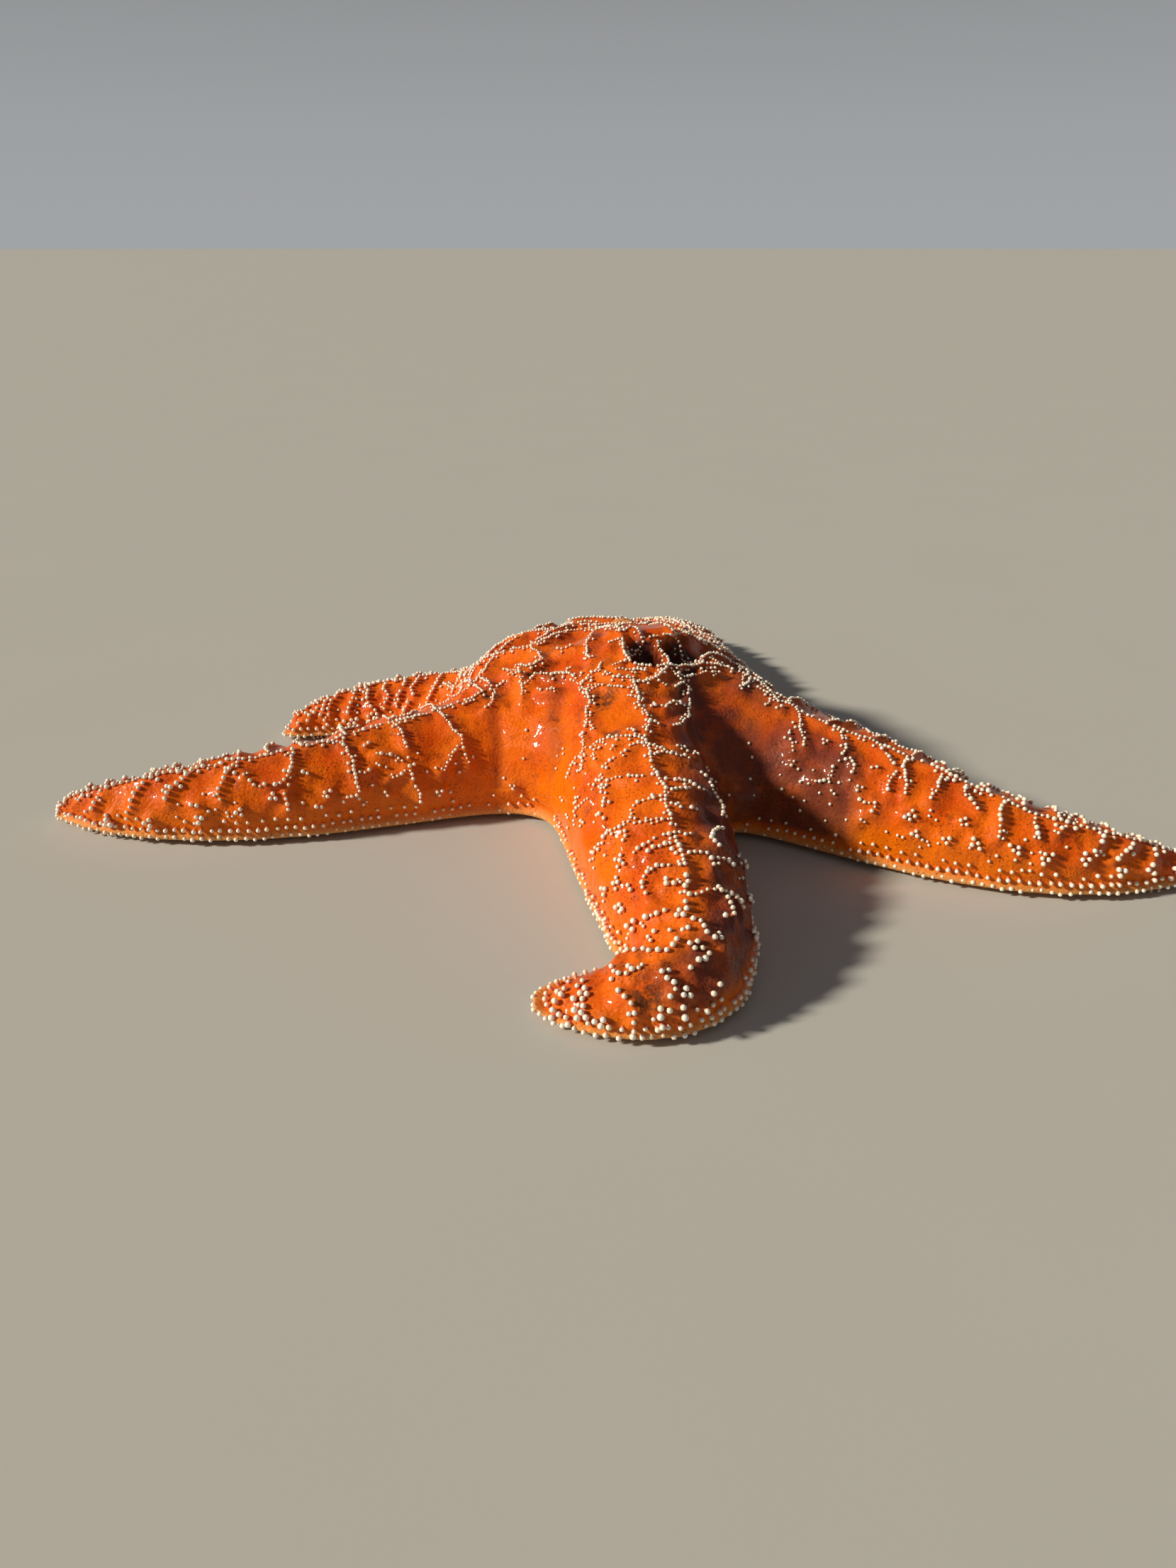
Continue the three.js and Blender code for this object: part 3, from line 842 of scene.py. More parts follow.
def edge_path(arm, level):
    """An arm's outline at a level: out along its left side, round the tip and back along its right."""
    along = np.arange(EDGE_SPAN[0] * arm.length, EDGE_SPAN[1] * arm.ends * arm.length, 0.4)
    middle, left = arm.at(along)
    turns = np.radians(np.linspace(86, -86, 60))[:, None]
    ahead = np.array([left[-1][1], -left[-1][0]])
    fan = left[-1] * np.sin(turns) + ahead * np.cos(turns)
    plan = np.concatenate([middle, np.repeat(middle[-1:], len(fan), axis=0), middle[::-1]])
    heading = np.concatenate([left, fan, -left[::-1]])
    origins = np.column_stack([plan, np.full(len(plan), level)])
    directions = np.column_stack([heading, np.zeros(len(plan))])
    path, good = GRID.cast(origins, directions, np.full(len(plan), 32.0))
    distances = np.stack([other.nearest(path[:, :2])[1] for other in ARMS.values()])
    return path[good & (distances.argmin(axis=0) == list(ARMS).index(arm.name))]


def edge_rows(coat, rng):
    """Rows of pillar spines all round the body's edge, each at its own level."""
    for level, spacing, head in EDGE_ROWS:
        for arm in ARMS.values():
            path = edge_path(arm, level)
            run = run_lengths(path)
            count = int(run[-1] / spacing)
            stops = (np.arange(count) + rng.uniform(-0.12, 0.12, count) + 0.5 * (level > 3)) * spacing
            places = along_path(stops, run, path)
            places[:, 2] += rng.uniform(-0.3, 0.3, count)
            share = arm.nearest(places[:, :2])[0]
            kept = rng.random(count) < np.interp(share, *EDGE_KEPT)
            if level == EDGE_ROWS[-1][0]:
                kept &= rng.random(count) < np.interp(share, *EDGE_TOP_KEPT)
            heads = head * np.interp(share, *EDGE_GROWTH) * rng.uniform(0.86, 1.12, count)
            coat.add("spines_" + arm.name, places[kept], heads[kept])


def lone_spines(coat, rng):
    """Small single spines scattered low on the arms' sides."""
    for arm in ARMS.values():
        count, furthest = LONE_SPINES[arm.name]
        along = rng.uniform(0.22, furthest, count) * arm.length
        turn = rng.uniform(*LONE_TURNS, count)
        turn = np.where(rng.random(count) < 0.5, turn, 180 - turn)
        places, good = on_arm(arm, np.column_stack([along, turn]))
        coat.add("spines_" + arm.name, places[good], rng.uniform(*LONE_HEADS, good.sum()))


def lay_coat():
    """All the chains and spines of the upper side, the set ones first."""
    coat = Coat()
    rng = np.random.default_rng(RULES_SEED)
    for runs, size, doubling in ((BROAD_DISC_CHAINS, 1.06, 0.85), (DISC_CHAINS, 0.95, 0.3)):
        for run in runs:
            path, good = on_disc(drawn(run))
            disc_chain(coat, path[good], size, DISC_GAP, 1.0, doubling)
    for name, crest in CRESTS.items():
        arm_chain(coat, ARMS[name], crest, doubling=0.5)
    for name, ribs in (("front", FRONT_RIBS), ("left", LEFT_RIBS), ("right", RIGHT_RIBS)):
        for run in ribs:
            arm_chain(coat, ARMS[name], run)
    for name, side, widest, closest in RULED_SIDES:
        ruled_ribs(coat, ARMS[name], side, widest, closest, rng)
    for name, clusters in CLUSTERS.items():
        for along, turn, count in clusters:
            centre, good = on_arm(ARMS[name], [(along, turn)])
            if good[0]:
                coat.cluster("spines_" + name, centre[0], head_at(ARMS[name], along), count)
    spurs(coat, rng)
    disc_net(coat, rng)
    edge_rows(coat, rng)
    lone_spines(coat, rng)
    return coat


COAT = lay_coat()
RIDGES = np.concatenate(COAT.ridges)
STRENGTHS = np.concatenate(COAT.strengths)
RIDGE_TREE = tree_of(RIDGES)


def belonging(points):
    """How much each point is the disc's, then each arm's: shares that add up to one."""
    from_disc = np.hypot(*(points[:, :2] - DISC_CENTRE).T)
    fields = [section(from_disc, points[:, 2], DISC_RADIUS, DISC_HEIGHT, DISC_POWER)]
    places = []
    for arm in ARMS.values():
        share, away, side = arm.nearest(points[:, :2])
        fields.append(section(away, points[:, 2], arm.half_width(share), arm.height(share), 2))
        turn = np.arctan2(points[:, 2] - SECTION_FOOT * arm.height(share), away * side)
        places.append((share, (turn + math.pi / 2) % (2 * math.pi) - math.pi / 2))
    weights = np.exp(-np.array(fields) / WEB_BLEND)
    return weights / weights.sum(axis=0), places


def ridge_rise(points):
    """How far each point stands up on a ridge, from 0 between the chains to 1 on one, and its narrow part."""
    found = [RIDGE_TREE.find(point) for point in points]
    distance = np.array([entry[2] for entry in found])
    strength = STRENGTHS[[entry[1] for entry in found]]
    narrow = np.exp(-((distance / RIDGE_NARROW) ** 2))
    broad = np.exp(-((distance / RIDGE_BROAD) ** 2))
    return strength * (NARROW_PART * narrow + (1 - NARROW_PART) * broad), narrow


def in_folds(points):
    """How deep each point lies in the folds, and how much of it is fold, from 0 to 1."""
    depth, share = np.zeros(len(points)), np.zeros(len(points))
    for deep, half_width, run in FOLDS:
        track = drawn(run)
        away = np.min([np.hypot(*(points[:, :2] - place).T) for place in track], axis=0)
        near = np.exp(-((away / half_width) ** 2)) * (points[:, 2] > FOLDS_ABOVE)
        depth += deep * near
        share = np.maximum(share, near * deep / FOLDS[0][0])
    return depth, share


def skin_depth(points):
    """How deep the skin lies under points of the body's surface, in mm, with the ridge and disc shares."""
    shares, places = belonging(points)
    rise, narrow = ridge_rise(points)
    hollow = HOLLOW_ON_ARMS + (HOLLOW_ON_DISC - HOLLOW_ON_ARMS) * shares[0]
    depth = hollow - (hollow - RIDGE_DEPTH) * rise
    for size, deep, more, lost, seed in SWELLS:
        depth += (deep + more * shares[0]) * lattice_noise(points, size, seed) * (1 - lost * rise)
    level = np.zeros(len(points))
    for arm, weight, (share, turn) in zip(ARMS.values(), shares[1:], places):
        along, girth = share * arm.length, turn * arm.half_width(share)
        depth += weight * sum(
            deep * lattice_noise(np.column_stack([along / long, girth / broad, level]), 1, seed)
            for long, broad, deep, seed in WRINKLES
        )
    for *spot, deep in PITS:
        away = from_spot(points, *spot)
        depth += deep * np.exp(-(away**3)) * (1 - 0.8 * narrow * smooth_step(away, 0.45, 0.9))
    depth += in_folds(points)[0] * (1 - 0.6 * narrow)
    plate = np.hypot(*(points[:, :2] - PLATE_CENTRE).T)
    depth -= PLATE_SWELL[0] * np.exp(-((plate / PLATE_SWELL[1]) ** 4)) * (points[:, 2] > 20)
    return np.maximum(depth, SHALLOWEST), rise, shares, places


# ---------------------------------------------------------------- meshes


def solid(name, points, quads, triangles=(), attributes=None, loop_map=None):
    """A smooth mesh object from points in mm. loop_map gives OFBake places for each point."""
    mesh = bpy.data.meshes.new(name)
    quads = np.asarray(quads, np.int32).reshape(-1, 4)
    triangles = np.asarray(triangles, np.int32).reshape(-1, 3)
    loops = np.concatenate([quads.ravel(), triangles.ravel()])
    sizes = np.concatenate([np.full(len(quads), 4), np.full(len(triangles), 3)])
    mesh.vertices.add(len(points))
    mesh.vertices.foreach_set("co", (np.asarray(points) * MM).astype(np.float32).ravel())
    mesh.loops.add(len(loops))
    mesh.loops.foreach_set("vertex_index", loops)
    mesh.polygons.add(len(sizes))
    mesh.polygons.foreach_set("loop_start", (np.cumsum(sizes) - sizes).astype(np.int32))
    mesh.polygons.foreach_set("use_smooth", np.ones(len(sizes), bool))
    for key, values in (attributes or {}).items():
        mesh.attributes.new(key, "FLOAT", "POINT").data.foreach_set("value", np.asarray(values, np.float32))
    if loop_map is not None:
        layer = mesh.uv_layers.new(name="OFBake")
        layer.data.foreach_set("uv", loop_map[loops].astype(np.float32).ravel())
    mesh.update(calc_edges=True)
    mesh.validate()
    made = bpy.data.objects.new(name, mesh)
    bpy.context.collection.objects.link(made)
    return made


def surface_net(values, low):
    """Quads along the zero level of a lattice: one vertex in each cell that the level passes through."""
    inside = values < 0
    shape = np.array(values.shape)
    strides = np.array([shape[1] * shape[2], shape[2], 1])
    points, cells = [], []
    for axis in range(3):
        here = [slice(None)] * 3
        there = [slice(None)] * 3
        here[axis], there[axis] = slice(None, -1), slice(1, None)
        edges = np.argwhere(inside[tuple(here)] != inside[tuple(there)])
        start = values[tuple(edges.T)]
        ahead = edges.copy()
        ahead[:, axis] += 1
        share = start / (start - values[tuple(ahead.T)])
        crossing = edges.astype(float)
        crossing[:, axis] += share
        second, third = (axis + 1) % 3, (axis + 2) % 3
        corners = []
        for back_second, back_third in ((1, 1), (0, 1), (0, 0), (1, 0)):
            cell = edges.copy()
            cell[:, second] -= back_second
            cell[:, third] -= back_third
            corners.append(cell @ strides)
        corners = np.stack(corners, axis=1)
        corners[start > 0] = corners[start > 0][:, ::-1]
        points.append(np.repeat(crossing, 4, axis=0))
        cells.append(corners)
    quads = np.concatenate(cells)
    points = np.concatenate(points)
    _, index = np.unique(quads.ravel(), return_inverse=True)
    count = np.bincount(index)
    middle = np.stack([np.bincount(index, points[:, i]) / count for i in range(3)], axis=1)
    return low + middle * CELL, index.reshape(-1, 4)


def relaxed(points, quads):
    """Each point moved halfway to the middle of the faces round it."""
    centres = np.repeat(points[quads].mean(axis=1), 4, axis=0)
    index = quads.ravel()
    count = np.bincount(index)
    middle = np.stack([np.bincount(index, centres[:, i]) / count for i in range(3)], axis=1)
    return points * 0.5 + middle * 0.5


def blots(points, spots, lowest):
    """How much each point lies in round spots of the skin above a level, from 0 to 1."""
    share = np.zeros(len(points))
    for x, y, radius in spots:
        away = np.hypot(points[:, 0] - x, points[:, 1] - y) / radius
        share = np.maximum(share, smooth_step(away, 1.3, 0.5))
    return share * smooth_step(points[:, 2], lowest, lowest + 2)


def painted_shade_on(points, shares, places):
    """Purple painted shade at each point: front arm's left side, right shoulder, folds and cast shadows."""
    front = list(ARMS).index("front")
    share, turn = places[front]
    turn = np.degrees(turn)
    # the front arm's shaded side: painted shade and painted sky reflection over a somewhat darker pigment
    side = shares[1 + front] * smooth_step(80 - turn, 0, 20)
    side *= smooth_step(share, *PAINTED_SHADE_END)
    shoulder = smooth_step(points[:, 0], *SHADED_SHOULDER_X) * smooth_step(points[:, 2], *SHADED_SHOULDER_LEVEL)
    fold = in_folds(points)[1]
    painted_shade = np.clip(side * smooth_step(turn, -6, 20) + 0.8 * shoulder + 0.9 * fold, 0, 1)
    return np.maximum(painted_shade, 0.95 * blots(points, PAINTED_SHADOWS, LOWEST_SHADE))


def make_skin():
    """The one skin over disc and arms."""
    points, quads = surface_net(GRID.flesh, GRID.low)
    points = relaxed(points, quads)
    body = GRID.at(points)
    normals = GRID.normals(points)
    upper = smooth_step(points[:, 2], BELLY_LEVEL + 0.2, BELLY_LEVEL + 2.2) * (body > -1.2)
    points = points - normals * (np.clip(body, -1, 1) * upper)[:, None]
    depth, rise, shares, places = skin_depth(points)
    surface = upper * smooth_step(body, -2.2, -0.8)
    points = points - normals * (depth * surface)[:, None]
    points[:, 2] = np.maximum(points[:, 2], BELLY_LEVEL - 0.3)
    flank = sum(
        weight * smooth_step(np.abs(np.degrees(turn) - 90), *FLANK_BAND)
        for weight, (_, turn) in zip(shares[1:], places)
    )
    # painted shade: purple on shaded sides and folds, and painted shadows between the front and right arms
    painted_shade = painted_shade_on(points, shares, places)
    stain = blots(points, STAINS, LOWEST_STAIN)
    # painted shade: near black in the depths of the two deep pits
    pit_shade = np.zeros(len(points))
    for *spot, _ in PITS[:SHADED_PITS]:
        inside = smooth_step(from_spot(points, *spot), 1.15, 0.85)
        pit_shade = np.maximum(pit_shade, inside * smooth_step(depth, 1.9, 3.1))
    attributes = dict(ridge=rise, flank=flank, painted_shade=painted_shade, pit_shade=pit_shade, stain=stain, belly=1 - upper)
    return solid("skin", points, quads, attributes=attributes)


def lathe_quads(rings, sides):
    """The quads between the rings of a lathed shape whose points run ring by ring."""
    ring, side = np.meshgrid(np.arange(rings - 1), np.arange(sides), indexing="ij")
    here, following = ring * sides + side, ring * sides + (side + 1) % sides
    return np.stack([here, following, following + sides, here + sides], axis=-1).reshape(-1, 4)


def spine_mesh(name, roots, axes, heights, heads, outline, sides, chart, rng, wobble=0.05):
    """Many spines as one mesh. Each is a lathe of its outline with a small patch of its own on the map."""
    count, rings = len(roots), len(outline)
    share, extra, reach, turned = np.array(outline).T
    along = share * heights[:, None] + extra * heads[:, None]
    wide = reach * heads[:, None]
    first = unit(np.cross(axes, np.array([0.31, 0.17, 0.93])))
    second = np.cross(axes, first)
    turn = rng.uniform(0, 2 * math.pi, (count, 1)) + np.linspace(0, 2 * math.pi, sides, endpoint=False)
    around = first[:, None] * np.cos(turn)[..., None] + second[:, None] * np.sin(turn)[..., None]
    radius = wide[:, :, None] * rng.uniform(1 - wobble, 1 + wobble, (count, rings, sides))
    centres = roots[:, None, None] + axes[:, None, None] * along[:, :, None, None]
    shell = centres + around[:, None] * radius[..., None]
    tips = roots + axes * heights[:, None]
    points = np.concatenate([shell.reshape(count, -1, 3), tips[:, None]], axis=1)
    size = rings * sides + 1
    edge = (rings - 1) * sides + np.arange(sides)
    cap = np.stack([edge, np.roll(edge, -1), np.full(sides, size - 1)], axis=-1)
    base = (np.arange(count) * size)[:, None, None]
    quads = (lathe_quads(rings, sides)[None] + base).reshape(-1, 4)
    caps = (cap[None] + base).reshape(-1, 3)
    rise = np.append(np.repeat(turned, sides), 1.0)
    ripple = np.append(np.repeat(np.linspace(1, 0.25, rings), sides), 0.0)
    angle = np.append(np.tile(np.arange(sides) * 2 * math.pi / sides, rings), 0.0)
    patch = np.stack([ripple * np.cos(angle), ripple * np.sin(angle)], axis=-1) * PATCH
    chart_points = (chart[:, None] + patch[None]).reshape(-1, 2)
    tones = np.repeat(rng.uniform(0, 1, count), size)
    attributes = dict(rise=np.tile(rise, count), tone=tones)
    return solid(name, points.reshape(-1, 3), quads, caps, attributes, chart_points)


def arm_chart(arm, points):
    """Places on an unwrap of an arm's skin: along it, and round it."""
    along, turn = arm_place(arm, points)
    return np.column_stack([0.05 + 0.9 * along / arm.length, 0.05 + 0.9 * (turn + 90) / 360])


def plan_chart(points):
    """Places on the body seen in plan."""
    return 0.05 + 0.9 * (points[:, :2] - PLAN_LOW) / (PLAN_HIGH[0] - PLAN_LOW[0])


def make_spines():
    """The coat of the upper side, a piece for the disc and one for each arm."""
    rng = np.random.default_rng(SPINES_SEED)
    places, heads, pieces = COAT.thin()
    normals = GRID.normals(places)
    depth = skin_depth(places)[0] * smooth_step(places[:, 2], BELLY_LEVEL - 1.2, BELLY_LEVEL + 1.2)
    depth = np.maximum(depth, ROOT_DEPTH)
    tallest = TALLEST[0] + (TALLEST[1] - TALLEST[0]) * smooth_step(places[:, 2], *EDGE_BAND)
    heights = np.minimum(depth - TIP_CLEARANCE, heads * tallest)
    heads = np.minimum(heads, heights * BROADEST)
    roots = places - normals * depth[:, None]
    normals[:, 2] = np.maximum(normals[:, 2], -0.2)
    normals = unit(normals)
    lowest = roots[:, 2] + np.minimum(normals[:, 2], 0) * heights - heads * 1.45
    roots[:, 2] += np.maximum(FLOOR_CLEARANCE - lowest, 0)
    highest = roots[:, 2] + np.maximum(normals[:, 2], 0) * heights
    roots[:, 2] -= np.maximum(highest - CEILING, 0)
    made = []
    for piece in np.unique(pieces):
        mine = pieces == piece
        arm = ARMS.get(piece.replace("spines_", "", 1))
        chart = arm_chart(arm, places[mine]) if arm else plan_chart(places[mine])
        sizes = (roots[mine], normals[mine], heights[mine], heads[mine])
        made.append(spine_mesh(piece, *sizes, PEARL, 8, chart, rng))
    return made


def downward(count, lean, rng):
    """Directions that point down, each leaning a little its own way."""
    return unit(np.column_stack([rng.normal(0, lean, (count, 2)), -np.ones(count)]))


def make_belly_spines():
    """Short blunt spines under the arms, with closer rows along the grooves."""
    rng = np.random.default_rng(BELLY_SEED)
    columns = np.arange(PLAN_LOW[0], PLAN_HIGH[0], BELLY_PITCH)
    rows = np.arange(PLAN_LOW[1], PLAN_HIGH[1], BELLY_PITCH * ROW_PITCH)
    xs, ys = np.meshgrid(columns, rows, indexing="ij")
    xs = xs + (np.arange(ys.shape[1]) % 2) * BELLY_PITCH / 2
    plan = np.column_stack([xs.ravel(), ys.ravel()]) + rng.uniform(-0.35, 0.35, (xs.size, 2))
    from_groove = np.min([arm.nearest(plan)[1] for arm in ARMS.values()], axis=0)
    level = np.column_stack([plan, np.full(len(plan), BELLY_LEVEL)])
    keep = (GRID.at(level) < -2.4) & (from_groove > GROOVE_HALF_WIDTH + 3.1)
    keep &= np.hypot(*plan.T) > MOUTH_RADIUS + 2
    places, heads = [plan[keep]], [rng.uniform(*BELLY_HEADS, keep.sum())]
    for arm in ARMS.values():
        for row, spacing, head in GROOVE_SPINES:
            along = np.arange(GROOVE_SPAN[0] * arm.length + 2, 0.97 * arm.length, spacing)
            middle, left = arm.at(along)
            for side in (-1, 1):
                where = middle + left * side * (GROOVE_HALF_WIDTH + row)
                flat = np.column_stack([where, np.full(len(where), BELLY_LEVEL)])
                inside = (GRID.at(flat) < -1.2) & (np.hypot(*where.T) > MOUTH_RADIUS + 0.6)
                places.append(where[inside])
                heads.append(np.full(inside.sum(), head))
    places, heads = np.concatenate(places), np.concatenate(heads)
    roots = np.column_stack([places, np.full(len(places), BELLY_LEVEL + 0.05)])
    axes = downward(len(places), 0.08, rng)
    heights = rng.uniform(0.92, 1.0, len(places))
    return spine_mesh("spines_belly", roots, axes, heights, heads, PEARL, 7, plan_chart(roots), rng)


def make_tube_feet():
    """Four rows of tube feet along each groove, drawn up under the roof with their suckers near the floor."""
    rng = np.random.default_rng(FEET_SEED)
    roots = []
    for arm in ARMS.values():
        for row, shift in FEET_ROWS:
            along = np.arange(FEET_SPAN[0] * arm.length, FEET_SPAN[1] * arm.length, FEET_PITCH)
            along = along + shift * FEET_PITCH
            middle, left = arm.at(along)
            ends = smooth_step(along / arm.length, 1.0, 0.8)
            for side in (-1, 1):
                where = middle + left * side * row + rng.uniform(-0.15, 0.15, (len(along), 2))
                roof = GROOVE_DEPTH * ends * math.sqrt(1 - (row / GROOVE_HALF_WIDTH) ** 2)
                roots.append(np.column_stack([where, np.maximum(roof, 1.3)]))
    roots = np.concatenate(roots)
    axes = downward(len(roots), 0.07, rng)
    heights = roots[:, 2] - rng.uniform(0.15, 0.5, len(roots))
    heads = rng.uniform(*FEET_HEADS, len(roots))
    return spine_mesh("tube_feet", roots, axes, heights, heads, TUBE_FOOT, 8, plan_chart(roots), rng)


def lathe_cap(name, centre, radius, level, rings, sides):
    """A closed round piece whose top is level(share of the radius, bearing) mm high over a flat base."""
    share = np.linspace(1 / rings, 1, rings)[:, None]
    turn = np.linspace(0, 2 * math.pi, sides, endpoint=False)[None]
    reach, bearing = np.broadcast_arrays(share * radius, turn)
    height, base = level(np.broadcast_to(share, reach.shape), bearing)
    top = np.stack([reach * np.cos(bearing), reach * np.sin(bearing), height], axis=-1).reshape(-1, 3)
    under = top.copy()
    under[:, 2] = base
    peak, _ = level(np.zeros((1, 1)), np.zeros((1, 1)))
    points = np.concatenate([top, under, [[0, 0, peak[0, 0]], [0, 0, base]]]) + [*centre, 0]
    upper = lathe_quads(rings, sides)[:, [0, 3, 2, 1]]
    half = rings * sides
    spoke, next_spoke = np.arange(sides), np.roll(np.arange(sides), -1)
    rim, next_rim = (rings - 1) * sides + spoke, (rings - 1) * sides + next_spoke
    wall = np.stack([rim, rim + half, next_rim + half, next_rim], axis=-1)
    quads = np.concatenate([upper, upper[:, ::-1] + half, wall])
    fans = np.concatenate([
        np.stack([spoke, next_spoke, np.full(sides, 2 * half)], axis=-1),
        np.stack([next_spoke + half, spoke + half, np.full(sides, 2 * half + 1)], axis=-1),
    ])
    return solid(name, points, quads, fans)


def make_plate():
    """The sieve plate: a low dome with winding radial furrows."""

    def level(share, bearing):
        wander = 0.35 * np.sin(3 * bearing + 5 * share) + 0.2 * np.sin(7 * bearing - 4 * share)
        inner = np.cos(FURROWS[0] * (bearing + wander))
        outer = np.cos(FURROWS[1] * (bearing + wander * 0.6))
        furrow = np.where(share < 0.5, inner, outer)
        furrow = furrow * smooth_step(share, 0.1, 0.35) * smooth_step(share, 1.0, 0.86)
        dome = PLATE_RISE * np.sqrt(np.maximum(1 - share**2.6, 0.0))
        return PLATE_LEVEL + dome + FURROW_DEPTH * furrow, PLATE_LEVEL - 1

    return lathe_cap("sieve_plate", PLATE_CENTRE, PLATE_RADIUS, level, *PLATE_MESH)


def make_mouth():
    """The mouth's soft ring under the body, gathered in folds round its opening."""

    def level(share, bearing):
        winding = MOUTH_GATHERS * bearing + 2 * np.sin(5 * bearing)
        gathers = 0.16 * np.cos(winding) * smooth_step(share, 0.12, 0.4)
        bowl = 0.9 + 1.5 * smooth_step(share, 1.0, 0.45) + 1.3 * smooth_step(share, 0.3, 0.08)
        return -(bowl + gathers * smooth_step(share, 1.0, 0.8)), -3.9

    made = lathe_cap("mouth_ring", (0, 0), MOUTH_RADIUS - 0.15, level, *MOUTH_MESH)
    made.data.transform(Matrix.Diagonal((1, -1, -1, 1)))
    return made


def make_mouth_spines():
    """Five sheaves of longer spines that lean in over the mouth from between the arms."""
    rng = np.random.default_rng(MOUTH_SEED)
    roots, axes = [], []
    bearings = sorted(leave[0] % 360 for _, leave, *_ in ARM_SIZES.values())
    for here, there in zip(bearings, bearings[1:] + [bearings[0] + 360]):
        middle = (here + there) / 2
        for spread in MOUTH_SHEAF:
            for reach, level, lean in MOUTH_ROWS:
                roots.append([*towards(middle + spread, reach), level])
                axes.append([*-towards(middle + spread * 0.4, lean), -0.55])
    roots, axes = np.array(roots), unit(np.array(axes))
    heights = np.minimum(rng.uniform(2.4, 2.9, len(roots)), (roots[:, 2] - 0.35) / np.abs(axes[:, 2]))
    heads = rng.uniform(*MOUTH_HEADS, len(roots))
    return spine_mesh("spines_mouth", roots, axes, heights, heads, PEARL, 8, plan_chart(roots), rng)


# ---------------------------------------------------------------- materials


class Look:
    """A material being put together from nodes, with sizes in mm."""

    def __init__(self, name, **gloss):
        self.material = bpy.data.materials.new(name)
        self.material.use_nodes = True
        self.tree = self.material.node_tree
        self.surface = self.tree.nodes["Principled BSDF"]
        for key, value in gloss.items():
            self.surface.inputs[key.replace("_", " ")].default_value = value
        where = self.node("ShaderNodeTexCoord").outputs["Object"]
        scaled = self.node("ShaderNodeVectorMath", {0: where}, operation="SCALE")
        scaled.inputs["Scale"].default_value = 1 / MM
        self.place = scaled.outputs[0]

    def node(self, kind, inputs=None, **settings):
        made = self.tree.nodes.new(kind)
        for key, value in settings.items():
            setattr(made, key, value)
        for key, value in (inputs or {}).items():
            self.put(made.inputs[key], value)
        return made

    def put(self, socket, value):
        if isinstance(value, bpy.types.NodeSocket):
            self.tree.links.new(value, socket)
        else:
            socket.default_value = value

    def attribute(self, name):
        return self.node("ShaderNodeAttribute", attribute_name=name).outputs["Fac"]

    def noise(self, size, detail=3.0, roughness=0.55, stretch=(1, 1, 1)):
        place = self.node("ShaderNodeVectorMath", {0: self.place, 1: stretch}, operation="MULTIPLY")
        inputs = {"Vector": place.outputs[0], "Scale": 1 / size, "Detail": detail, "Roughness": roughness}
        return self.node("ShaderNodeTexNoise", inputs).outputs["Fac"]

    def cells(self, size, feature="F1"):
        inputs = {"Vector": self.place, "Scale": 1 / size}
        return self.node("ShaderNodeTexVoronoi", inputs, feature=feature).outputs["Distance"]

    def between(self, value, low, high):
        """0 where value is at low or less, 1 at high or more."""
        inputs = {"Value": value, "From Min": low, "From Max": high}
        return self.node("ShaderNodeMapRange", inputs, interpolation_type="SMOOTHSTEP").outputs["Result"]

    def maths(self, operation, first, second):
        return self.node("ShaderNodeMath", {0: first, 1: second}, operation=operation).outputs[0]

    def times(self, first, second):
        return self.maths("MULTIPLY", first, second)

    def mix(self, factor, first, second, blend="MIX"):
        made = self.node("ShaderNodeMix", data_type="RGBA", blend_type=blend)
        for index, value in ((0, factor), (6, first), (7, second)):
            if isinstance(value, tuple) and len(value) == 3:
                value = (*value, 1.0)
            self.put(made.inputs[index], value)
        return made.outputs[2]

    def bump(self, height, distance, strength=1.0, under=None):
        inputs = {"Height": height, "Distance": distance * MM, "Strength": strength}
        if under is not None:
            inputs["Normal"] = under
        return self.node("ShaderNodeBump", inputs).outputs[0]

    def finish(self, colour, relief, patch, spread, least):
        """Joins up the colour, the fine relief and a roughness that varies in patches of this size."""
        self.put(self.surface.inputs["Base Color"], colour)
        self.put(self.surface.inputs["Normal"], relief)
        roughness = self.maths("ADD", self.times(self.noise(patch), spread), least)
        self.put(self.surface.inputs["Roughness"], roughness)
        return self.material


ORANGE = (0.88, 0.155, 0.001)
RED_ORANGE = (0.70, 0.083, 0.001)
BROWN = (0.20, 0.022, 0.001)
AMBER = (0.88, 0.20, 0.002)
# purple of the painted shade and shadows
SHADE_PLUM = (0.10, 0.033, 0.032)
# pink of the ridges: partly their own tint, partly a painted wet sheen
RIDGE_PINK_SHEEN = (0.86, 0.25, 0.07)
CREAM = (0.96, 0.84, 0.64)
WHITE = (0.99, 0.96, 0.88)
INK = (0.03, 0.012, 0.01)
# near black painted shade inside the deep pits
PIT_SHADE = (0.035, 0.007, 0.005)
STAIN = (0.095, 0.042, 0.022)
PALE_BELLY = (0.80, 0.40, 0.13)
FOOT = ((0.78, 0.48, 0.2), (0.88, 0.68, 0.4), (0.9, 0.78, 0.58))  # stem, paler stem and sucker
MOUTH = ((0.82, 0.42, 0.2), (0.62, 0.2, 0.09))
PLATE = ((0.84, 0.38, 0.13), (0.74, 0.22, 0.04))
PORE = (0.35, 0.12, 0.04)
RUST = (0.85, 0.45, 0.2)
GRAIN = ((0.55, 0.4, 0.3), (1.0, 1.0, 1.0))


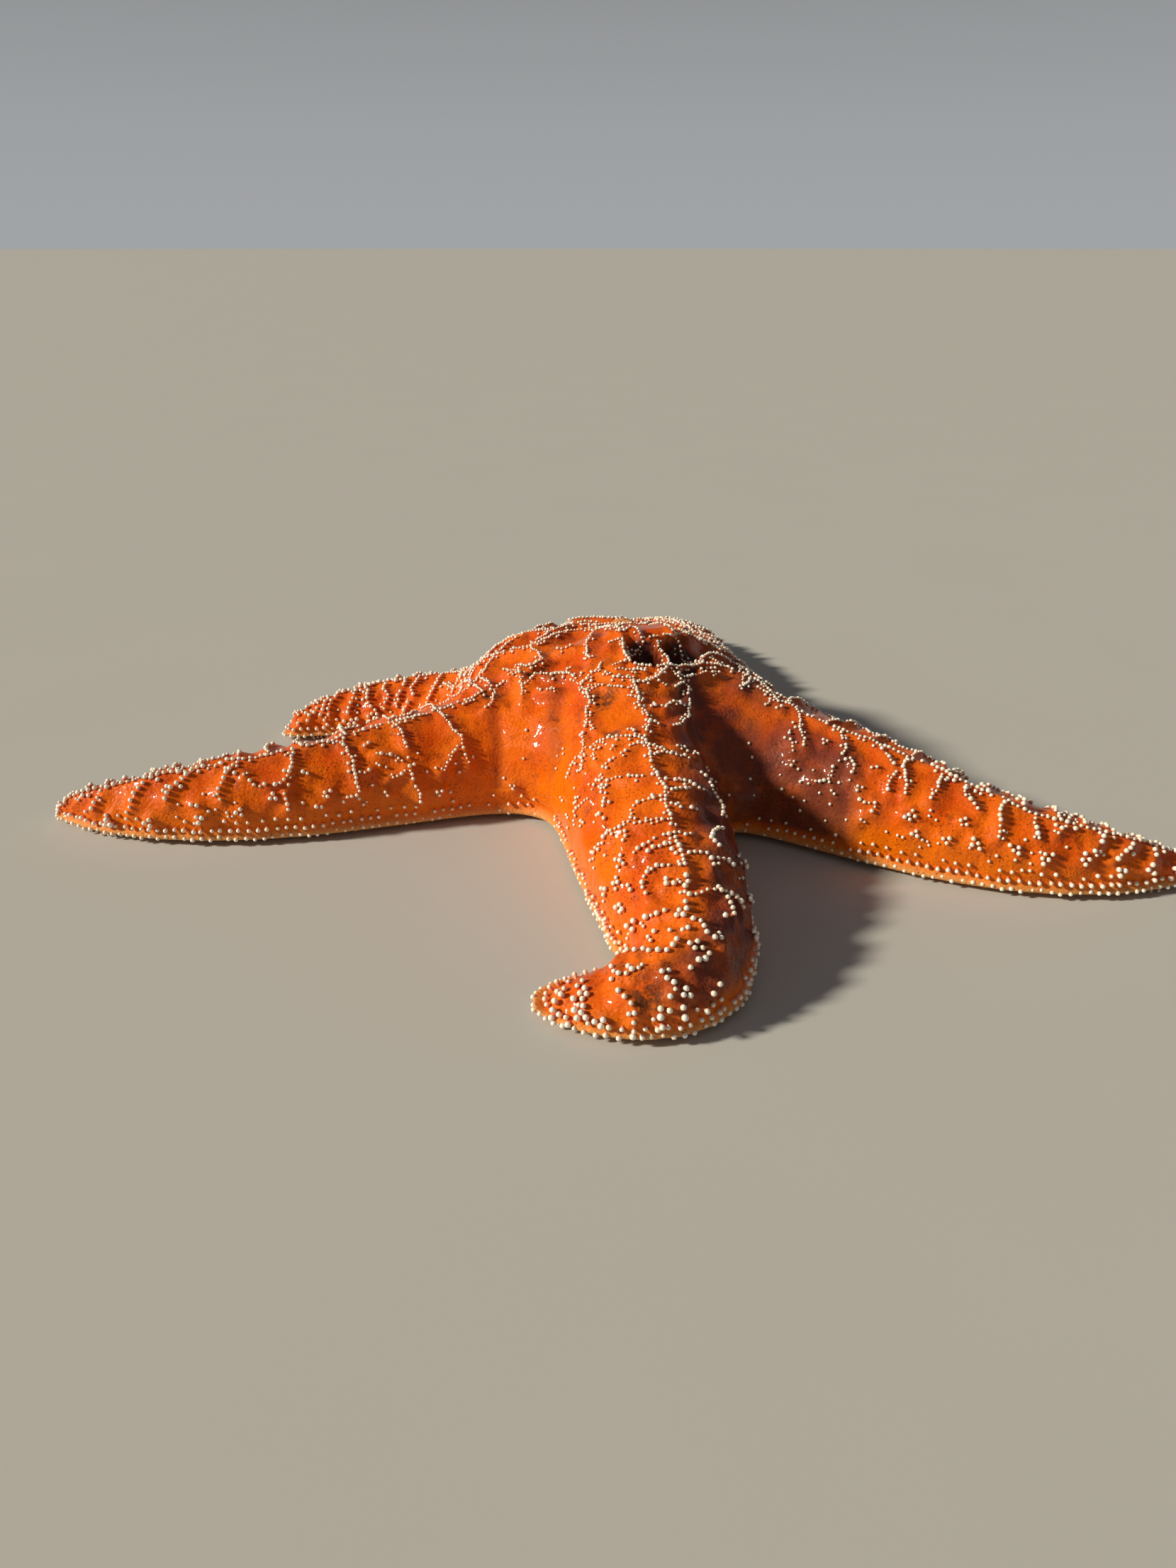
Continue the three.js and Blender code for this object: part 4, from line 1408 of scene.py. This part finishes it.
def skin_colour(look, with_attributes=True):
    """The skin's orange and its markings."""
    colour = look.mix(look.between(look.noise(11, 4), 0.36, 0.66), ORANGE, RED_ORANGE)
    dark = look.between(look.noise(4.2, 5, 0.65), 0.52, 0.72)
    colour = look.mix(look.times(dark, 0.7), colour, BROWN)
    if with_attributes:
        colour = look.mix(look.times(look.attribute("flank"), 0.75), colour, AMBER)
        # ridges tinted pink, partly their own colour and partly a painted wet sheen
        colour = look.mix(look.times(look.attribute("ridge"), 0.2), colour, RIDGE_PINK_SHEEN)
        # painted shade and shadows in purple
        shade_patches = look.times(look.attribute("painted_shade"), look.between(look.noise(8, 3), 0.1, 0.55))
        colour = look.mix(look.times(shade_patches, 0.85), colour, SHADE_PLUM)
        # painted shade in the pits
        colour = look.mix(look.times(look.attribute("pit_shade"), 0.94), colour, PIT_SHADE)
        dusty = look.times(look.attribute("stain"), look.between(look.noise(1.6, 4, 0.7), 0.42, 0.56))
        colour = look.mix(look.times(dusty, 0.8), colour, STAIN)
        colour = look.mix(look.attribute("belly"), colour, PALE_BELLY)
    grain = look.between(look.noise(0.55, 2), 0.3, 0.75)
    colour = look.mix(0.35, colour, look.mix(grain, *GRAIN), "MULTIPLY")
    specks = look.between(look.cells(0.75), 0.26, 0.16)
    patches = look.between(look.noise(6, 3), 0.42, 0.58)
    return look.mix(look.times(look.times(specks, patches), 0.8), colour, INK)


def skin_look():
    look = Look(
        "wet_skin", Coat_Weight=0.5, Coat_Roughness=0.03, Coat_IOR=1.34, Specular_IOR_Level=0.06,
        Subsurface_Weight=0.1, Subsurface_Radius=(1.0, 0.35, 0.12), Subsurface_Scale=1.6 * MM,
    )
    papules = look.bump(look.cells(0.62, "SMOOTH_F1"), 0.15, 0.9)
    creases = look.bump(look.noise(1.1, 4, 0.6), 0.2, 0.8, papules)
    film = look.bump(look.noise(2.4, 2, 0.4), 0.26, 0.8, look.bump(look.cells(0.62, "SMOOTH_F1"), 0.04, 0.5))
    look.put(look.surface.inputs["Coat Normal"], film)
    return look.finish(skin_colour(look), creases, 2.4, 0.3, 0.22)


def spine_look():
    look = Look(
        "spine", Coat_Weight=0.35, Coat_Roughness=0.18,
        Subsurface_Weight=0.15, Subsurface_Radius=(1.0, 0.6, 0.35), Subsurface_Scale=0.5 * MM,
    )
    head = look.mix(look.attribute("tone"), CREAM, WHITE)
    mottled = look.mix(look.times(look.noise(0.6, 2), 0.1), head, RUST)
    colour = look.mix(look.attribute("rise"), skin_colour(look, False), mottled)
    return look.finish(colour, look.bump(look.noise(0.28, 2), 0.06, 0.6), 0.8, 0.25, 0.25)


def foot_look():
    look = Look(
        "tube_foot", Coat_Weight=0.4, Coat_Roughness=0.15, Subsurface_Weight=0.25, Subsurface_Scale=0.8 * MM
    )
    stem, paler, sucker = FOOT
    colour = look.mix(look.attribute("rise"), look.mix(look.noise(1.2, 2), stem, paler), sucker)
    relief = look.bump(look.noise(0.4, 2, stretch=(1, 1, 3)), 0.08, 0.6)
    return look.finish(colour, relief, 0.8, 0.2, 0.3)


def mouth_look():
    look = Look(
        "mouth_skin", Coat_Weight=0.5, Coat_Roughness=0.12, Subsurface_Weight=0.2, Subsurface_Scale=1.0 * MM
    )
    colour = look.mix(look.between(look.noise(2.5, 3), 0.3, 0.7), *MOUTH)
    return look.finish(colour, look.bump(look.noise(0.7, 3), 0.12, 0.7), 1.0, 0.2, 0.28)


def plate_look():
    look = Look("sieve_plate", Coat_Weight=0.25, Coat_Roughness=0.3)
    colour = look.mix(look.between(look.noise(1.4, 3), 0.35, 0.7), *PLATE)
    colour = look.mix(look.between(look.cells(0.4), 0.2, 0.1), colour, PORE)
    return look.finish(colour, look.bump(look.cells(0.35), 0.08, 0.7), 0.6, 0.25, 0.35)


def dress(piece, material, record_slot, *nodes):
    """Gives a piece its material and the body that it rides on, and hides the CAD nodes that it stands for.
    """
    piece.data.materials.append(material)
    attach(piece, "root")
    if nodes:
        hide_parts(*nodes)


FLESH = ["disc"] + [f"arm_{name}_{part}" for name in ARM_SIZES for part in ("base", "middle", "tip")]
SPINE = spine_look()
dress(make_skin(), skin_look(), "skin", *FLESH)
for coat_piece in [*make_spines(), make_belly_spines(), make_mouth_spines()]:
    dress(coat_piece, SPINE, "spines")
dress(make_tube_feet(), foot_look(), "tube_feet")
dress(make_mouth(), mouth_look(), "mouth", "mouth")
dress(make_plate(), plate_look(), "plate", "madreporite")

# ---------------------------------------------------------------- floor, light and camera
FLOOR_RADIUS = 30.0  # metres
FLOOR_SIDES = 64
PALE = (0.56, 0.54, 0.51)
LIGHT_HEADING = (0.86, 0.19, -0.47)  # the way the key light travels: low, from the left
LIGHT_STRENGTH = 4.2
LIGHT_SOFTNESS = 6  # degrees across, as a broad softbox a few metres off
LIGHT_COLOUR = (1.0, 0.93, 0.77)
FILL = 0.12  # brightness of the world overhead
BACKDROP = 0.38  # and at the horizon, which lies behind the body
FADE_TOP = 0.45  # how high up the one has passed into the other, 1 being straight up
SKY_COLOUR = (0.94, 0.97, 1.0, 1.0)
CAMERA_PLACE = (-0.013, -0.260, 0.123)  # metres
CAMERA_TILT = 25.5  # below the horizon
FRAME_HEIGHT = 2212
FOCAL_PIXELS = 1600
SENSOR_SIDE = 36  # the sensor's long side, in mm
CAMERA_RANGE = (0.005, 100)  # metres


def make_floor():
    look = Look("pale_floor", Roughness=0.8, Specular_IOR_Level=0.1)
    tone = look.mix(look.noise(60, 3), tuple(c * 0.97 for c in PALE), PALE)
    look.put(look.surface.inputs["Base Color"], tone)
    look.put(look.surface.inputs["Normal"], look.bump(look.noise(1.5, 2), 0.02, 0.3))
    turn = np.linspace(0, 2 * math.pi, FLOOR_SIDES, endpoint=False)
    rim = np.column_stack([np.cos(turn), np.sin(turn), np.zeros(FLOOR_SIDES)]) * FLOOR_RADIUS / MM
    points = np.concatenate([rim, [[0, 0, 0]]])
    corner = np.arange(FLOOR_SIDES)
    fan = np.stack([corner, np.roll(corner, -1), np.full(FLOOR_SIDES, FLOOR_SIDES)], axis=-1)
    floor = solid("floor", points, np.zeros((0, 4)), fan)
    floor.data.materials.append(look.material)


def make_lights():
    key = bpy.data.lights.new("key", "SUN")
    key.angle = math.radians(LIGHT_SOFTNESS)
    key.energy = LIGHT_STRENGTH
    key.color = LIGHT_COLOUR
    lamp = bpy.data.objects.new("key", key)
    lamp.location = -Vector(LIGHT_HEADING)
    lamp.rotation_euler = Vector(LIGHT_HEADING).to_track_quat("-Z", "Y").to_euler()
    bpy.context.collection.objects.link(lamp)
    world = bpy.data.worlds.new("studio")
    bpy.context.scene.world = world
    world.use_nodes = True
    tree = world.node_tree
    backdrop = tree.nodes["Background"]
    where = tree.nodes.new("ShaderNodeTexCoord")
    parts = tree.nodes.new("ShaderNodeSeparateXYZ")
    fade = tree.nodes.new("ShaderNodeMapRange")
    fade.interpolation_type = "SMOOTHSTEP"
    for socket, value in (("From Min", 0), ("From Max", FADE_TOP), ("To Min", BACKDROP), ("To Max", FILL)):
        fade.inputs[socket].default_value = value
    tree.links.new(where.outputs["Generated"], parts.inputs[0])
    tree.links.new(parts.outputs["Z"], fade.inputs["Value"])
    tree.links.new(fade.outputs["Result"], backdrop.inputs["Strength"])
    backdrop.inputs["Color"].default_value = SKY_COLOUR
    bpy.context.scene.view_settings.view_transform = "Standard"


def make_camera():
    data = bpy.data.cameras.new("camera")
    data.sensor_width = SENSOR_SIDE
    data.lens = data.sensor_width * FOCAL_PIXELS / FRAME_HEIGHT
    data.clip_start, data.clip_end = CAMERA_RANGE
    camera = bpy.data.objects.new("camera", data)
    camera.location = CAMERA_PLACE
    camera.rotation_euler = (math.radians(90 - CAMERA_TILT), 0, 0)
    bpy.context.collection.objects.link(camera)
    bpy.context.scene.camera = camera


make_floor()
make_lights()
make_camera()
